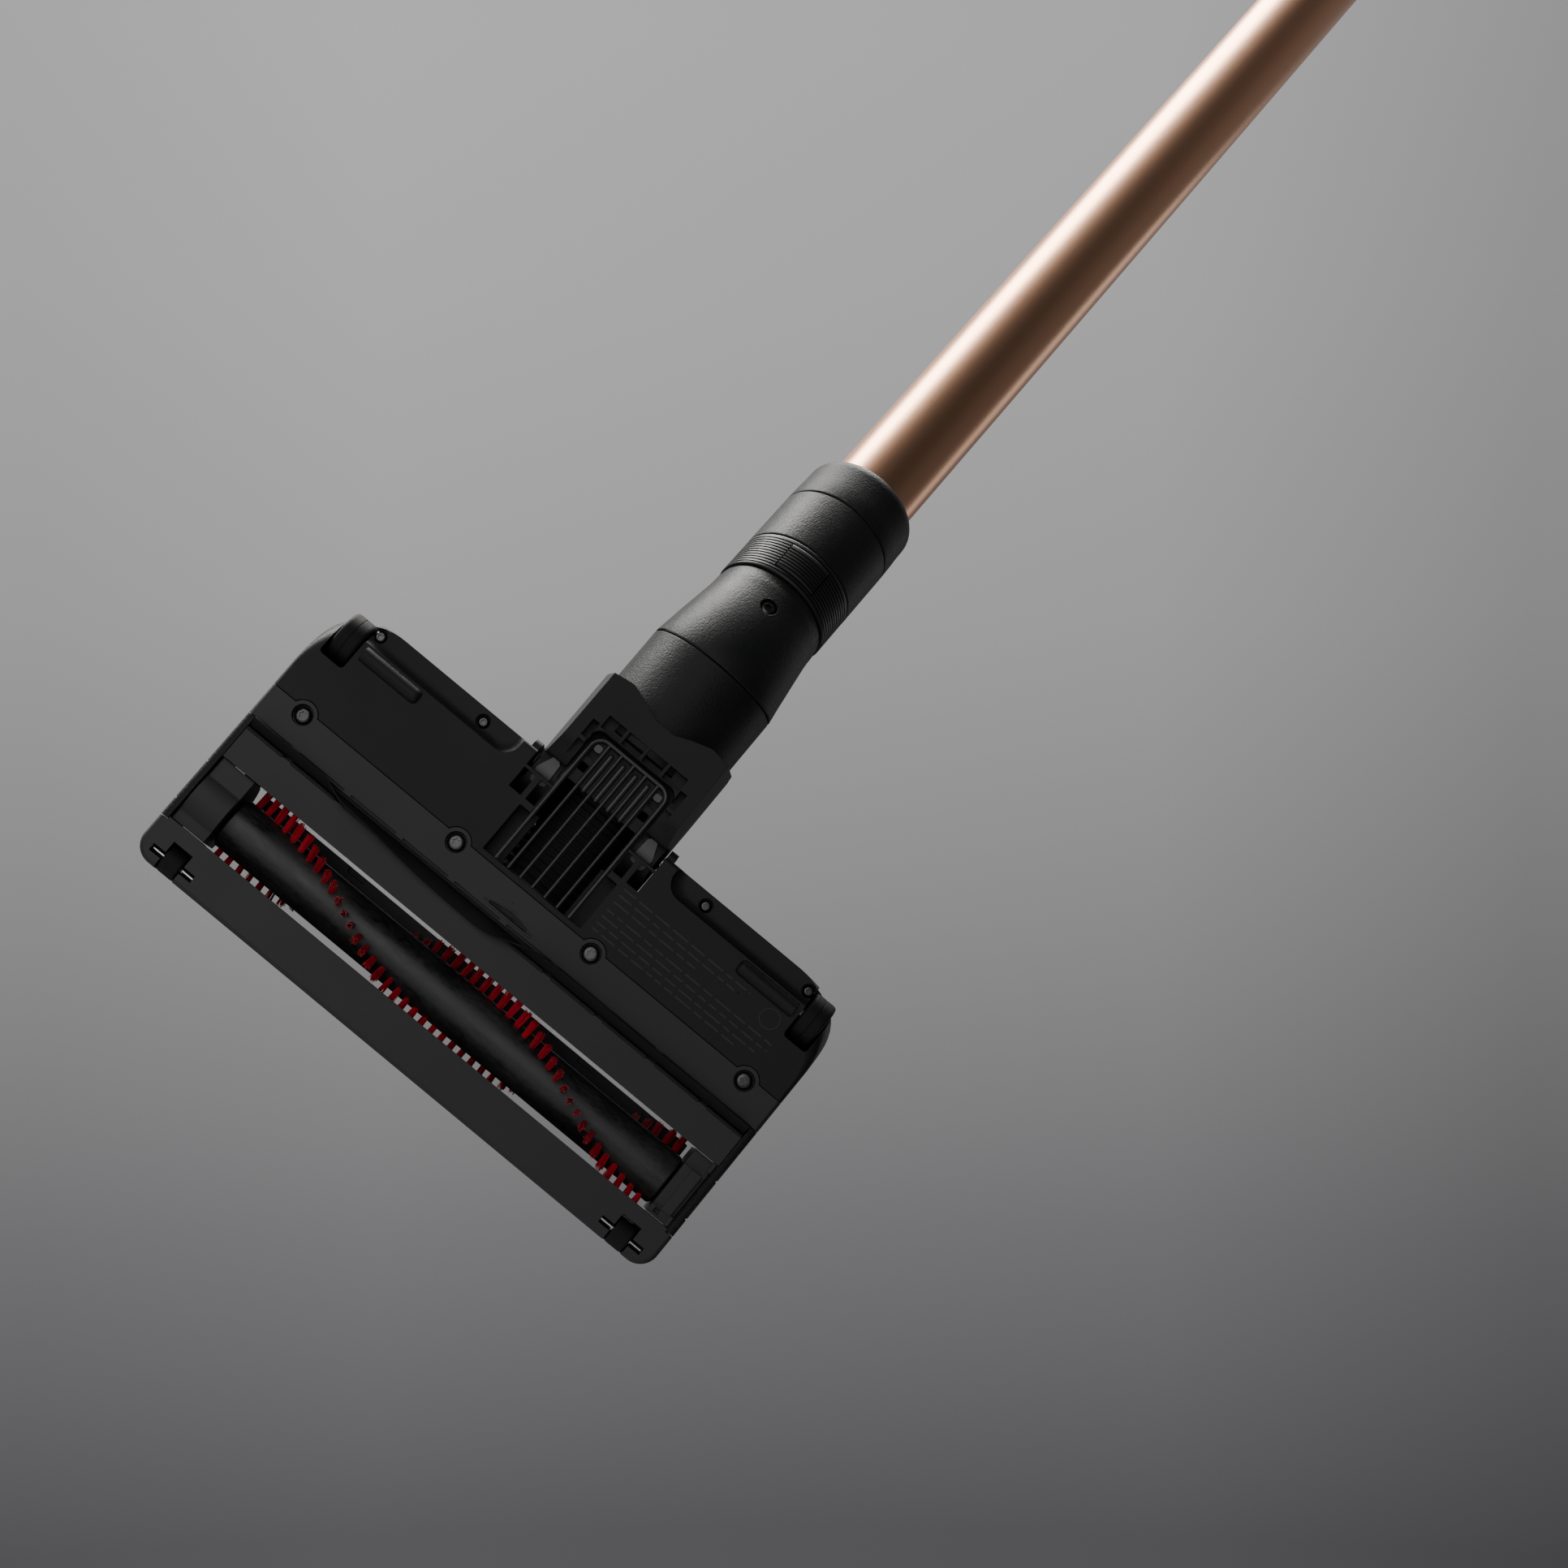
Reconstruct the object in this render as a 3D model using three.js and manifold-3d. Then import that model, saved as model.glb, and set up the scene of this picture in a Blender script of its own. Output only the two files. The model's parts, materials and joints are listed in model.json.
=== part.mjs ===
// Cordless stick vacuum: motorised floor head, swivel neck, wand and handheld unit.
// Millimetres, +Z up along the wand, X across the head, +Y towards the user's side.
// The vacuum hangs from the flat back of its battery, whose centre is the origin.

import * as THREE from 'three';
import { mergeVertices } from 'three/addons/utils/BufferGeometryUtils.js';
import Module from 'manifold-3d';

const wasm = await Module();
wasm.setup();

// ---------------------------------------------------------------- driving dimensions
const GAP = 0.3;
const DEGREE = Math.PI / 180;

// Floor head, in its own frame: X across, Y from front to back, Z up from the sole.
const HEAD = { halfWidth: 122.5, length: 123.7, frontRadius: 8, backRadius: 19, wall: 2.2 };
const SOLE = { thickness: 6, back: 80, bump: 5.6 };
const CHASSIS_TOP = 12;
const BRUSH = { y: 30.9, z: 17.5, core: 10.6, tip: 19.2, chamber: 20.8, pulley: 8 };
const BRISTLES = { pitch: 216, crossing: 45.6, start: -105.5, length: 206, thickness: 1.8 };
const CHAMBER = { left: 103.5, right: -108.5, front: 18, back: 47.6 };
const DECK = { frontTop: 42.5, backY: 100, backTop: 38, edgeTop: 26 };
const HOOD_SEAM = 53;
const SIDE_PANEL = { inner: 119.3, front: 17, back: 66 };
const SOLE_SCREWS = { x: [106.5, 32.5, -32.5, -106.5], y: 77.8 };
const THROAT = { halfWidth: 23.5, front: 82.4, back: 103.9, narrow: 18.5, narrowBack: 117 };
const LIP = { front: 61.3, back: 65.3, halfLength: 119, height: 4 };
const GRILLE = { pitch: 5.85, rib: 1.3, back: 143.7, low: -1.2, high: 1.8 };
const FRONT_WHEEL = { x: 107.2, y: 5.5, z: 4.6, radius: 5.5, width: 7.8, pin: { radius: 1.1, half: 9.4 } };
const REAR_WHEEL = { x: 112.2, y: 111.3, z: 9, radius: 10, width: 9.6, axle: 2, pocket: 5.5 };
const HINGE = { y: 122, z: 20, pin: 3, bore: 3.2, lug: 17.7 };
const NECK = { halfWidth: 30.5, cavity: 17.2, hoseRadius: 15, underside: -8, back: 164 };
const DUCT = { z: 24.5, outer: 11, inner: 9.6, widening: 1.5 };
const MOTOR = { y: 74, z: 24, radius: 10.5, pulley: 6 };
const BELT = { inner: 105, outer: 110, thickness: 1.2 };

// Neck: the sleeve leaves the hinge almost in line with the sole, and the wand bends up from it.
const HEAD_TILT = 66 * DEGREE;
const SLEEVE_RISE = 3 * DEGREE;
const SLEEVE = { start: 24, end: 68, radius: 28.2, bore: 22 };
const BEND_DISTANCE = 78;

// Wand and collars, measured up from the bend.
const RING = { low: 29.3, high: 48, radius: 24.6 };
const COLLAR = { top: 76, radius: 24.66 };
const END_COLLAR = { top: 100, radius: 21.9 };
const WAND = { bottom: 52, top: 690, radius: 18.25, bore: 16.8 };

// Handheld unit, measured up from the bend; the dust cup stands in front of the wand line.
const UPPER_COLLAR = { low: 655, high: 706, radius: 23.5 };
const SPINE = { low: 706.3, high: 880, halfWidth: 22, front: -25.5, back: 25 };
const PORT = { radius: 11, z: 838 };
const CUP = { y: -71.5, radius: 44, wall: 2, low: 722, high: 868 };
const HOUSING = { y: -62, low: 868.3, high: 956, radius: 50 };
const HANDLE = { halfWidth: 15, top: 946, bottom: 771 };
const BATTERY = { halfWidth: 26, front: 58, back: 126, low: 698, high: 770.6 };
const DOCK_HEIGHT = 734;

// ---------------------------------------------------------------- materials
const paint = (color, roughness, metalness = 0, opacity = 1) =>
  new THREE.MeshStandardMaterial({ color, roughness, metalness, opacity, transparent: opacity < 1 });
const BLACK = paint(0x212323, 0.55);
const GLOSS_BLACK = paint(0x191a1b, 0.3);
const RUBBER = paint(0x1b1b1c, 0.75);
const RED = paint(0xbe0f28, 0.6);
const COPPER = paint(0xa87858, 0.35, 1);
const STEEL = paint(0xc8c8c8, 0.25, 1);
const SMOKED = paint(0x7a7f84, 0.08, 0, 0.35);
const FOAM = paint(0x6d6f72, 0.9);

// ---------------------------------------------------------------- solids
function signedVolume(position, index) {
  const [a, b, c] = [new THREE.Vector3(), new THREE.Vector3(), new THREE.Vector3()];
  let volume = 0;
  for (let i = 0; i < index.length; i += 3) {
    a.fromBufferAttribute(position, index[i]);
    b.fromBufferAttribute(position, index[i + 1]);
    c.fromBufferAttribute(position, index[i + 2]);
    volume += a.dot(b.cross(c)) / 6;
  }
  return volume;
}

// Turns a closed three.js geometry into a solid with its faces pointing out.
function solid(source) {
  const bare = source.clone();
  bare.deleteAttribute('normal');
  bare.deleteAttribute('uv');
  const merged = mergeVertices(bare, 1e-4);
  const corners = merged.index.array;
  const kept = [];
  for (let i = 0; i < corners.length; i += 3) {
    const [a, b, c] = [corners[i], corners[i + 1], corners[i + 2]];
    if (a !== b && b !== c && c !== a) kept.push(a, b, c);
  }
  const position = merged.attributes.position;
  if (signedVolume(position, kept) < 0) kept.reverse();
  return new wasm.Manifold(new wasm.Mesh({
    numProp: 3,
    vertProperties: new Float32Array(position.array),
    triVerts: new Uint32Array(kept),
  }));
}

function block(x0, x1, y0, y1, z0, z1) {
  const box = new THREE.BoxGeometry(x1 - x0, y1 - y0, z1 - z0);
  return solid(box.translate((x0 + x1) / 2, (y0 + y1) / 2, (z0 + z1) / 2));
}

// A plan outline in X and Y, extruded upwards.
function prism(shape, z0, z1, curveSegments = 6) {
  const body = new THREE.ExtrudeGeometry(shape, { depth: z1 - z0, bevelEnabled: false, curveSegments });
  return solid(body.translate(0, 0, z0));
}

// A side outline in Y and Z, extruded across X.
function crossPrism(shape, x0, x1, curveSegments = 8) {
  const body = new THREE.ExtrudeGeometry(shape, { depth: x1 - x0, bevelEnabled: false, curveSegments });
  body.translate(0, 0, x0);
  const turn = new THREE.Matrix4().makeBasis(
    new THREE.Vector3(0, 1, 0), new THREE.Vector3(0, 0, 1), new THREE.Vector3(1, 0, 0));
  return solid(body.applyMatrix4(turn));
}

// A [radius, height] profile turned about the Z axis; a bore makes it a tube.
function turnedGeometry(profile, bore = 0, segments = 24) {
  const first = profile[0][1];
  const last = profile[profile.length - 1][1];
  const closed = [[bore, first], ...profile, [bore, last], [bore, first]];
  const points = (bore > 0 ? closed : closed.slice(0, -1)).map(([r, h]) => new THREE.Vector2(r, h));
  return new THREE.LatheGeometry(points, segments).rotateX(Math.PI / 2);
}

function turned(profile, bore = 0, x = 0, y = 0, segments = 24) {
  return solid(turnedGeometry(profile, bore, segments).translate(x, y, 0));
}

// The same, turned about a line along X at the given Y and Z; heights become X.
function crossTurned(profile, y, z, bore = 0, segments = 24) {
  return solid(turnedGeometry(profile, bore, segments).rotateY(Math.PI / 2).translate(0, y, z));
}

// The same, turned about a line along Y.
function deepTurned(profile, x, z, bore = 0, segments = 24) {
  return solid(turnedGeometry(profile, bore, segments).rotateX(-Math.PI / 2).translate(x, 0, z));
}

// Plain cylinders: a rod lies along X, a post stands along Z.
const rod = (radius, x0, x1, y, z, segments = 16) =>
  crossTurned([[radius, x0], [radius, x1]], y, z, 0, segments);
const post = (radius, z0, z1, x, y, segments = 16) =>
  turned([[radius, z0], [radius, z1]], 0, x, y, segments);
const cut = (body, ...tools) => tools.reduce((rest, tool) => rest.subtract(tool), body);
const join = (body, ...others) => others.reduce((sum, other) => sum.add(other), body);

function addPart(group, name, body, material) {
  const { vertProperties, triVerts } = body.getMesh();
  const geometry = new THREE.BufferGeometry();
  geometry.setAttribute('position', new THREE.BufferAttribute(new Float32Array(vertProperties), 3));
  geometry.setIndex(new THREE.BufferAttribute(new Uint32Array(triVerts), 1));
  geometry.computeVertexNormals();
  const mesh = new THREE.Mesh(geometry, material);
  mesh.name = name;
  group.add(mesh);
}

// ---------------------------------------------------------------- floor head outlines
function headPlan(inset) {
  const x = HEAD.halfWidth - inset;
  const front = HEAD.frontRadius - inset;
  const back = HEAD.backRadius - inset;
  const [y0, y1] = [inset, HEAD.length - inset];
  const plan = new THREE.Shape();
  plan.moveTo(-x + front, y0);
  plan.lineTo(x - front, y0);
  plan.absarc(x - front, y0 + front, front, -Math.PI / 2, 0);
  plan.lineTo(x, y1 - back);
  plan.absarc(x - back, y1 - back, back, 0, Math.PI / 2);
  plan.lineTo(-x + back, y1);
  plan.absarc(-x + back, y1 - back, back, Math.PI / 2, Math.PI);
  plan.lineTo(-x, y0 + front);
  plan.absarc(-x + front, y0 + front, front, Math.PI, 1.5 * Math.PI);
  return plan;
}

// Side outline of the closed head: a round hood over the brush, then a deck falling to the back.
function headSide(inset) {
  const side = new THREE.Shape();
  side.moveTo(inset, -20);
  side.lineTo(HEAD.length - inset, -20);
  side.lineTo(HEAD.length - inset, DECK.edgeTop - inset);
  side.lineTo(DECK.backY, DECK.backTop - inset);
  side.lineTo(BRUSH.y, DECK.frontTop - inset);
  side.absellipse(BRUSH.y, BRUSH.z, BRUSH.y - inset, DECK.frontTop - BRUSH.z - inset, Math.PI / 2, Math.PI);
  return side;
}

const across = HEAD.halfWidth + 5;
const behind = HEAD.length + 16;
const mirrored = (make) => [make(1), make(-1)];
const ordered = (a, b) => (a < b ? [a, b] : [b, a]);

function headForm(inset) {
  return prism(headPlan(inset), -20, 60).intersect(crossPrism(headSide(inset), -across, across));
}

function sideBlock(side, near, far, y0, y1, z0, z1) {
  return block(...ordered(side * near, side * far), y0, y1, z0, z1);
}

function brushSpace(radius) {
  return rod(radius, CHAMBER.right, CHAMBER.left, BRUSH.y, BRUSH.z, 40);
}

function soleRegion(grow) {
  const plate = block(-across, across, -10, SOLE.back + grow, -5, SOLE.thickness + grow);
  const bumps = SOLE_SCREWS.x.map((x) =>
    post(SOLE.bump + grow, -5, SOLE.thickness + grow, x, SOLE_SCREWS.y, 24));
  return join(plate, ...bumps);
}

function rearWheelPockets() {
  const { x, y, z, radius, pocket } = REAR_WHEEL;
  return mirrored((side) =>
    sideBlock(side, x - pocket, x + pocket, y - radius - 1.2, behind, -5, z + radius + 1.4));
}

function wheelPockets() {
  const { x, y, z, pin } = FRONT_WHEEL;
  const front = mirrored((side) => sideBlock(side, x - 4.4, x + 4.4, -5, y + 6.4, -5, z + 6.5));
  const pins = mirrored((side) =>
    sideBlock(side, x - pin.half - GAP, x + pin.half + GAP, y - 1.4, y + 1.4, -5, z + 1.4));
  const axles = mirrored((side) =>
    rod(REAR_WHEEL.axle + GAP, ...ordered(side * 76, side * (REAR_WHEEL.x - 4.9)), REAR_WHEEL.y, REAR_WHEEL.z));
  return [...front, ...pins, ...rearWheelPockets(), ...axles];
}

// ---------------------------------------------------------------- floor head parts
function addShells(head) {
  const whole = headForm(0);
  const shell = whole.subtract(headForm(HEAD.wall));
  const panels = mirrored((side) =>
    sideBlock(side, SIDE_PANEL.inner, across, SIDE_PANEL.front, SIDE_PANEL.back, -5, 60));
  const panelSpaces = mirrored((side) => sideBlock(side, SIDE_PANEL.inner - GAP, across,
    SIDE_PANEL.front - GAP, SIDE_PANEL.back + GAP, -5, 60));
  const neckNotch = block(-34.6, 34.6, HINGE.y - HINGE.lug - 1.4, behind, CHASSIS_TOP, 70);
  const aboveChassis = block(-across, across, -5, behind, CHASSIS_TOP + GAP, 70);
  const upper = cut(shell.intersect(aboveChassis), ...panelSpaces);
  addPart(head, 'roller_window', upper.intersect(block(-across, across, -5, HOOD_SEAM, 0, 70)), SMOKED);
  const rear = upper.intersect(block(-across, across, HOOD_SEAM + GAP, behind, 0, 70));
  addPart(head, 'top_shell', cut(rear, neckNotch, ...rearWheelPockets()), BLACK);
  panels.forEach((panel, i) => {
    const trimmed = panel.intersect(whole).intersect(block(-across, across, 0, behind, 0, 70));
    addPart(head, ['side_panel_left', 'side_panel_right'][i], trimmed, GLOSS_BLACK);
  });
  return { whole, panelSpaces };
}

// The throat under the neck, with the small pockets at its sides.
function throatSpaces() {
  const { halfWidth, front, back, narrow, narrowBack } = THROAT;
  const aboveFloor = 2;
  const high = CHASSIS_TOP + 8;
  const neckBay = NECK.halfWidth + 0.8;
  return [
    block(-halfWidth, halfWidth, front, back, -5, high),
    block(-narrow, narrow, back - 1, behind, -5, high),
    block(-neckBay, neckBay, back - 0.4, behind, aboveFloor, high),
    block(-neckBay, neckBay, narrowBack, behind, -5, high),
    ...mirrored((side) => sideBlock(side, 25.6, 31.2, 106.6, 115.8, -5, high)),
    ...mirrored((side) => sideBlock(side, 18.9, 23.3, 106.6, 115.8, -5, high)),
  ];
}

function addBase(head, { whole, panelSpaces }) {
  const { left, right, front, back } = CHAMBER;
  const bays = block(right - 10.3, left + 15.5, front, back, -5, CHASSIS_TOP + 5);
  const plan = whole.intersect(block(-across, across, -5, behind, 0, CHASSIS_TOP));
  const sole = cut(plan.intersect(soleRegion(0)), bays, brushSpace(BRUSH.chamber),
    ...wheelPockets(), ...panelSpaces,
    block(-LIP.halfLength, LIP.halfLength, LIP.front, LIP.back, -5, LIP.height),
    ...SOLE_SCREWS.x.map((x) => post(4, -5, 3.5, x, SOLE_SCREWS.y)),
    ...SOLE_SCREWS.x.map((x) => post(1.9, -5, 20, x, SOLE_SCREWS.y)));
  addPart(head, 'sole_plate', sole, BLACK);

  const bulkhead = cut(block(-100, 100, HOOD_SEAM + GAP, HOOD_SEAM + 2.3, CHASSIS_TOP - 1, 35),
    widened(deepTurned([[DUCT.inner, 50], [DUCT.inner, 60]], 0, DUCT.z)));
  const lugs = mirrored((side) => sideBlock(side, NECK.halfWidth + 0.8, 34.3, 106, 127.3, 3, 30));
  const ledge = mirrored((side) => sideBlock(side, 38, across, 114, behind, -5, 3));
  const beltWay = block(BELT.inner - 0.6, BELT.outer + 0.6, CHAMBER.back - 1, 62, 7, CHASSIS_TOP + 8);
  const solidBase = join(cut(plan, soleRegion(GAP)), bulkhead, ...lugs);
  const base = cut(solidBase, bays, brushSpace(BRUSH.chamber + 0.2),
    ...wheelPockets(), ...panelSpaces, ...throatSpaces(), ...ledge, beltWay,
    rod(HINGE.bore, -40, 40, HINGE.y, HINGE.z),
    ...SOLE_SCREWS.x.map((x) => post(1.9, -5, CHASSIS_TOP + 1, x, SOLE_SCREWS.y)));
  addPart(head, 'head_base', base, BLACK);
}

function addChamberEnds(head) {
  const [y0, y1] = [CHAMBER.front + GAP, CHAMBER.back - GAP];
  const leftOuter = block(CHAMBER.left + GAP, 118.6, y0, y1, 0.6, 34);
  const leftInside = block(CHAMBER.left + 1.4, 117.4, y0 - 1, y1 + 1, 2.4, 40);
  addPart(head, 'end_cap_left', cut(leftOuter, leftInside, rod(5, 100, 120, BRUSH.y, BRUSH.z)), BLACK);
  const rightBlock = block(-118.4, CHAMBER.right - GAP, y0, y1, 0.6, 34);
  addPart(head, 'end_cap_right', cut(rightBlock, rod(4.6, -114, -100, BRUSH.y, BRUSH.z)), BLACK);
  addPart(head, 'chamber_rib', block(CHAMBER.right + 1, CHAMBER.left - 1, 41.2, 46.6, 36, 39), BLACK);
  const reach = LIP.halfLength - GAP;
  const strip = block(-reach, reach, LIP.front + 0.9, LIP.back - 0.9, -1.5, LIP.height - GAP);
  addPart(head, 'lip_seal', strip, RUBBER);
}

function addBrush(head) {
  const core = crossTurned([
    [3.8, -113], [3.8, -108.9], [BRUSH.core, -107.6],
    [BRUSH.core, 102.4], [3.8, 103.2], [3.8, BELT.outer + 4],
  ], BRUSH.y, BRUSH.z);
  addPart(head, 'brush_core', core, GLOSS_BLACK);
  const rowHeight = BRUSH.tip - BRUSH.core - GAP;
  const { pitch, crossing: first, start, length, thickness } = BRISTLES;
  [first, first - pitch / 2].forEach((crossing, i) => {
    const strip = new THREE.BoxGeometry(length, thickness, rowHeight, 24, 1, 1);
    strip.translate(start + length / 2, 0, -(BRUSH.core + GAP + rowHeight / 2));
    const p = strip.attributes.position;
    const point = new THREE.Vector3();
    for (let k = 0; k < p.count; k += 1) {
      point.fromBufferAttribute(p, k);
      const angle = 2 * Math.PI * (point.x - crossing) / pitch;
      point.applyAxisAngle(new THREE.Vector3(1, 0, 0), angle);
      p.setXYZ(k, point.x, point.y, point.z);
    }
    addPart(head, `bristle_row_${i + 1}`, solid(strip.translate(0, BRUSH.y, BRUSH.z)), RED);
  });
  const rim = [[BRUSH.pulley, BELT.inner], [BRUSH.pulley, BELT.outer]];
  const pulley = crossTurned(rim, BRUSH.y, BRUSH.z, 4.1);
  addPart(head, 'roller_pulley', pulley, GLOSS_BLACK);
}

function addDrive(head) {
  const motor = crossTurned([
    [4, 44], [MOTOR.radius, 45], [MOTOR.radius, 92], [5, 92.5], [5, 94], [1.6, 94.2], [1.6, 104.4],
  ], MOTOR.y, MOTOR.z);
  addPart(head, 'drive_motor', motor, STEEL);
  addPart(head, 'motor_pulley', rod(MOTOR.pulley, BELT.inner, BELT.outer, MOTOR.y, MOTOR.z, 20), STEEL);
  const clear = 0.4;
  const run = Math.hypot(MOTOR.y - BRUSH.y, MOTOR.z - BRUSH.z);
  const slope = Math.atan2(MOTOR.z - BRUSH.z, MOTOR.y - BRUSH.y);
  const loop = (grow) => {
    const [big, small] = [BRUSH.pulley + grow, MOTOR.pulley + grow];
    const lean = Math.acos((big - small) / run);
    const outline = new THREE.Shape();
    outline.absarc(BRUSH.y, BRUSH.z, big, slope + lean, slope - lean + 2 * Math.PI);
    outline.absarc(MOTOR.y, MOTOR.z, small, slope - lean, slope + lean);
    return crossPrism(outline, BELT.inner, BELT.outer, 12);
  };
  addPart(head, 'drive_belt', loop(clear + BELT.thickness).subtract(loop(clear)), RUBBER);
}

// The duct and its hose are wider than they are high.
const widened = (body) => body.scale([DUCT.widening, 1, 1]);

function addAirPath(head) {
  const duct = deepTurned([[DUCT.outer, HOOD_SEAM + 2.6], [DUCT.outer, 84]], 0, DUCT.z, DUCT.inner);
  addPart(head, 'suction_duct', widened(duct), BLACK);
  const section = new THREE.Shape().absarc(0, 0, DUCT.outer, 0, 2 * Math.PI);
  section.holes.push(new THREE.Path().absarc(0, 0, DUCT.inner, 0, 2 * Math.PI, true));
  const route = new THREE.CatmullRomCurve3([
    new THREE.Vector3(0, 86, DUCT.z - 0.2), new THREE.Vector3(0, 110, 21.4),
    new THREE.Vector3(0, 128, 20.6), new THREE.Vector3(0, 146, 21.3),
  ]);
  const hose = new THREE.ExtrudeGeometry(section, { steps: 8, extrudePath: route, curveSegments: 8 });
  addPart(head, 'bellows_hose', widened(solid(hose)), RUBBER);
}

function addGrille(head) {
  const { pitch, rib, back, low, high } = GRILLE;
  const edge = 3 * pitch + 0.8;
  const front = THROAT.front + GAP;
  const outline = block(-edge, edge, front, back, low, high);
  const gaps = [-3, -2, -1, 0, 1, 2].map((i) =>
    block(i * pitch + rib / 2, (i + 1) * pitch - rib / 2, front + 1.2, back - 2.4, -5, 5));
  const corners = mirrored((side) => {
    const square = sideBlock(side, edge - 4, edge + 1, back - 4, back + 1, -5, 5);
    return square.subtract(post(4, -6, 6, side * (edge - 4), back - 4));
  });
  addPart(head, 'throat_grille', cut(outline, ...gaps, ...corners), BLACK);
}

function addHeadFasteners(head) {
  SOLE_SCREWS.x.forEach((x, i) => {
    const profile = [[3.5, 0.8], [3.5, 3.2], [1.6, 3.2], [1.6, CHASSIS_TOP - 0.4]];
    const screw = turned(profile, 0, x, SOLE_SCREWS.y, 16);
    addPart(head, `sole_screw_${i + 1}`, screw, STEEL);
  });
  [['left', 1], ['right', -1]].forEach(([name, side]) => {
    const pin = rod(HINGE.pin, ...ordered(side * 24.6, side * 34.2), HINGE.y, HINGE.z);
    addPart(head, `hinge_pin_${name}`, pin, STEEL);
  });
}

// A wheel with a rounded rim, turned about X.
function wheel(centre, { radius, width, y, z }, bore) {
  const half = width / 2;
  const [edge, crown] = [radius * 0.86, half * 0.5];
  const profile = [[edge, -half], [radius, -crown], [radius, crown], [edge, half]];
  return crossTurned(profile.map(([r, h]) => [r, centre + h]), y, z, bore, 20);
}

function addWheels(head) {
  [['left', 1], ['right', -1]].forEach(([name, side]) => {
    addPart(head, `front_wheel_${name}`, wheel(side * FRONT_WHEEL.x, FRONT_WHEEL, 1.15), RUBBER);
    const { x, y, z, pin } = FRONT_WHEEL;
    const frontPin = rod(pin.radius, side * x - pin.half, side * x + pin.half, y, z, 12);
    addPart(head, `front_pin_${name}`, frontPin, STEEL);
    addPart(head, `rear_wheel_${name}`, wheel(side * REAR_WHEEL.x, REAR_WHEEL, 2.05), RUBBER);
    const span = ordered(side * 77, side * (REAR_WHEEL.x + 4.3));
    const rearAxle = rod(REAR_WHEEL.axle, ...span, REAR_WHEEL.y, REAR_WHEEL.z, 12);
    addPart(head, `rear_axle_${name}`, rearAxle, STEEL);
  });
}

// ---------------------------------------------------------------- neck
// Places a body made along Z on the sleeve's axis, with Z = 0 at the hinge.
function onSleeveAxis(body) {
  const degrees = (SLEEVE_RISE / DEGREE) - 90;
  return body.rotate([degrees, 0, 0]).translate([0, HINGE.y, HINGE.z]);
}

function addNeck(head) {
  const { halfWidth, cavity, hoseRadius, underside, back } = NECK;
  const side = new THREE.Shape();
  side.moveTo(HINGE.y, HINGE.z - HINGE.lug);
  side.lineTo(125, 1.5);
  side.lineTo(134, -6.4);
  side.lineTo(back, underside);
  side.lineTo(back, 34);
  side.lineTo(136, 40);
  side.lineTo(HINGE.y, HINGE.z + HINGE.lug);
  side.absarc(HINGE.y, HINGE.z, HINGE.lug, Math.PI / 2, 1.5 * Math.PI);
  const fairing = crossPrism(side, -halfWidth, halfWidth);
  const clearRadius = SLEEVE.radius + GAP;
  const sleeveSpace = turned([[clearRadius, SLEEVE.start - GAP], [clearRadius, 90]], 0, 0, 0, 32);
  const hoseSpace = turned([[hoseRadius, -5], [hoseRadius, 60]]).scale([cavity / hoseRadius, 1, 1]);
  const shell = cut(fairing, onSleeveAxis(sleeveSpace), onSleeveAxis(hoseSpace),
    block(-cavity, cavity, 90, 132, -10, 60),
    block(-21, 21, 120, 145, -12, 3.2),
    rod(HINGE.bore, -40, 40, HINGE.y, HINGE.z));
  addPart(head, 'neck_shell', shell, BLACK);
  const wall = [[SLEEVE.radius, SLEEVE.start], [SLEEVE.radius, SLEEVE.end]];
  const sleeve = turned(wall, SLEEVE.bore, 0, 0, 32);
  addPart(head, 'swivel_sleeve', onSleeveAxis(sleeve), BLACK);
}

// ---------------------------------------------------------------- elbow and wand
// Bends a body made along Z so that it starts on the sleeve's axis and ends on the wand's.
function bent(geometry) {
  const reach = { down: BEND_DISTANCE - SLEEVE.end - GAP, up: 16 };
  const lean = Math.PI / 2 - HEAD_TILT - SLEEVE_RISE;
  const start = new THREE.Vector2(-Math.sin(lean), -Math.cos(lean)).multiplyScalar(reach.down);
  const end = new THREE.Vector2(0, reach.up);
  const p = geometry.attributes.position;
  for (let i = 0; i < p.count; i += 1) {
    const t = Math.min((p.getZ(i) + reach.down) / (reach.down + reach.up), 1);
    const beyond = Math.max(p.getZ(i) - reach.up, 0);
    const centre = start.clone().multiplyScalar((1 - t) ** 2).addScaledVector(end, t * t);
    const along = start.clone().multiplyScalar(t - 1).addScaledVector(end, t).normalize();
    const y = p.getY(i);
    p.setXYZ(i, p.getX(i), centre.x + along.y * y, centre.y - along.x * y + beyond);
  }
  return geometry;
}

function addElbow(machine) {
  const bottom = -(BEND_DISTANCE - SLEEVE.end - GAP);
  const outside = [[SLEEVE.radius, bottom], [27.6, -4], [26.4, 5], [25, 15], [24.2, 22], [24.2, 29]];
  const bore = outside.map(([, h]) => [18, h]).reverse();
  const points = [...outside, ...bore, outside[0]].map(([r, h]) => new THREE.Vector2(r, h));
  const cone = new THREE.LatheGeometry(points, 32).rotateX(Math.PI / 2);
  addPart(machine, 'elbow', solid(bent(cone)), BLACK);
}

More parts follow.
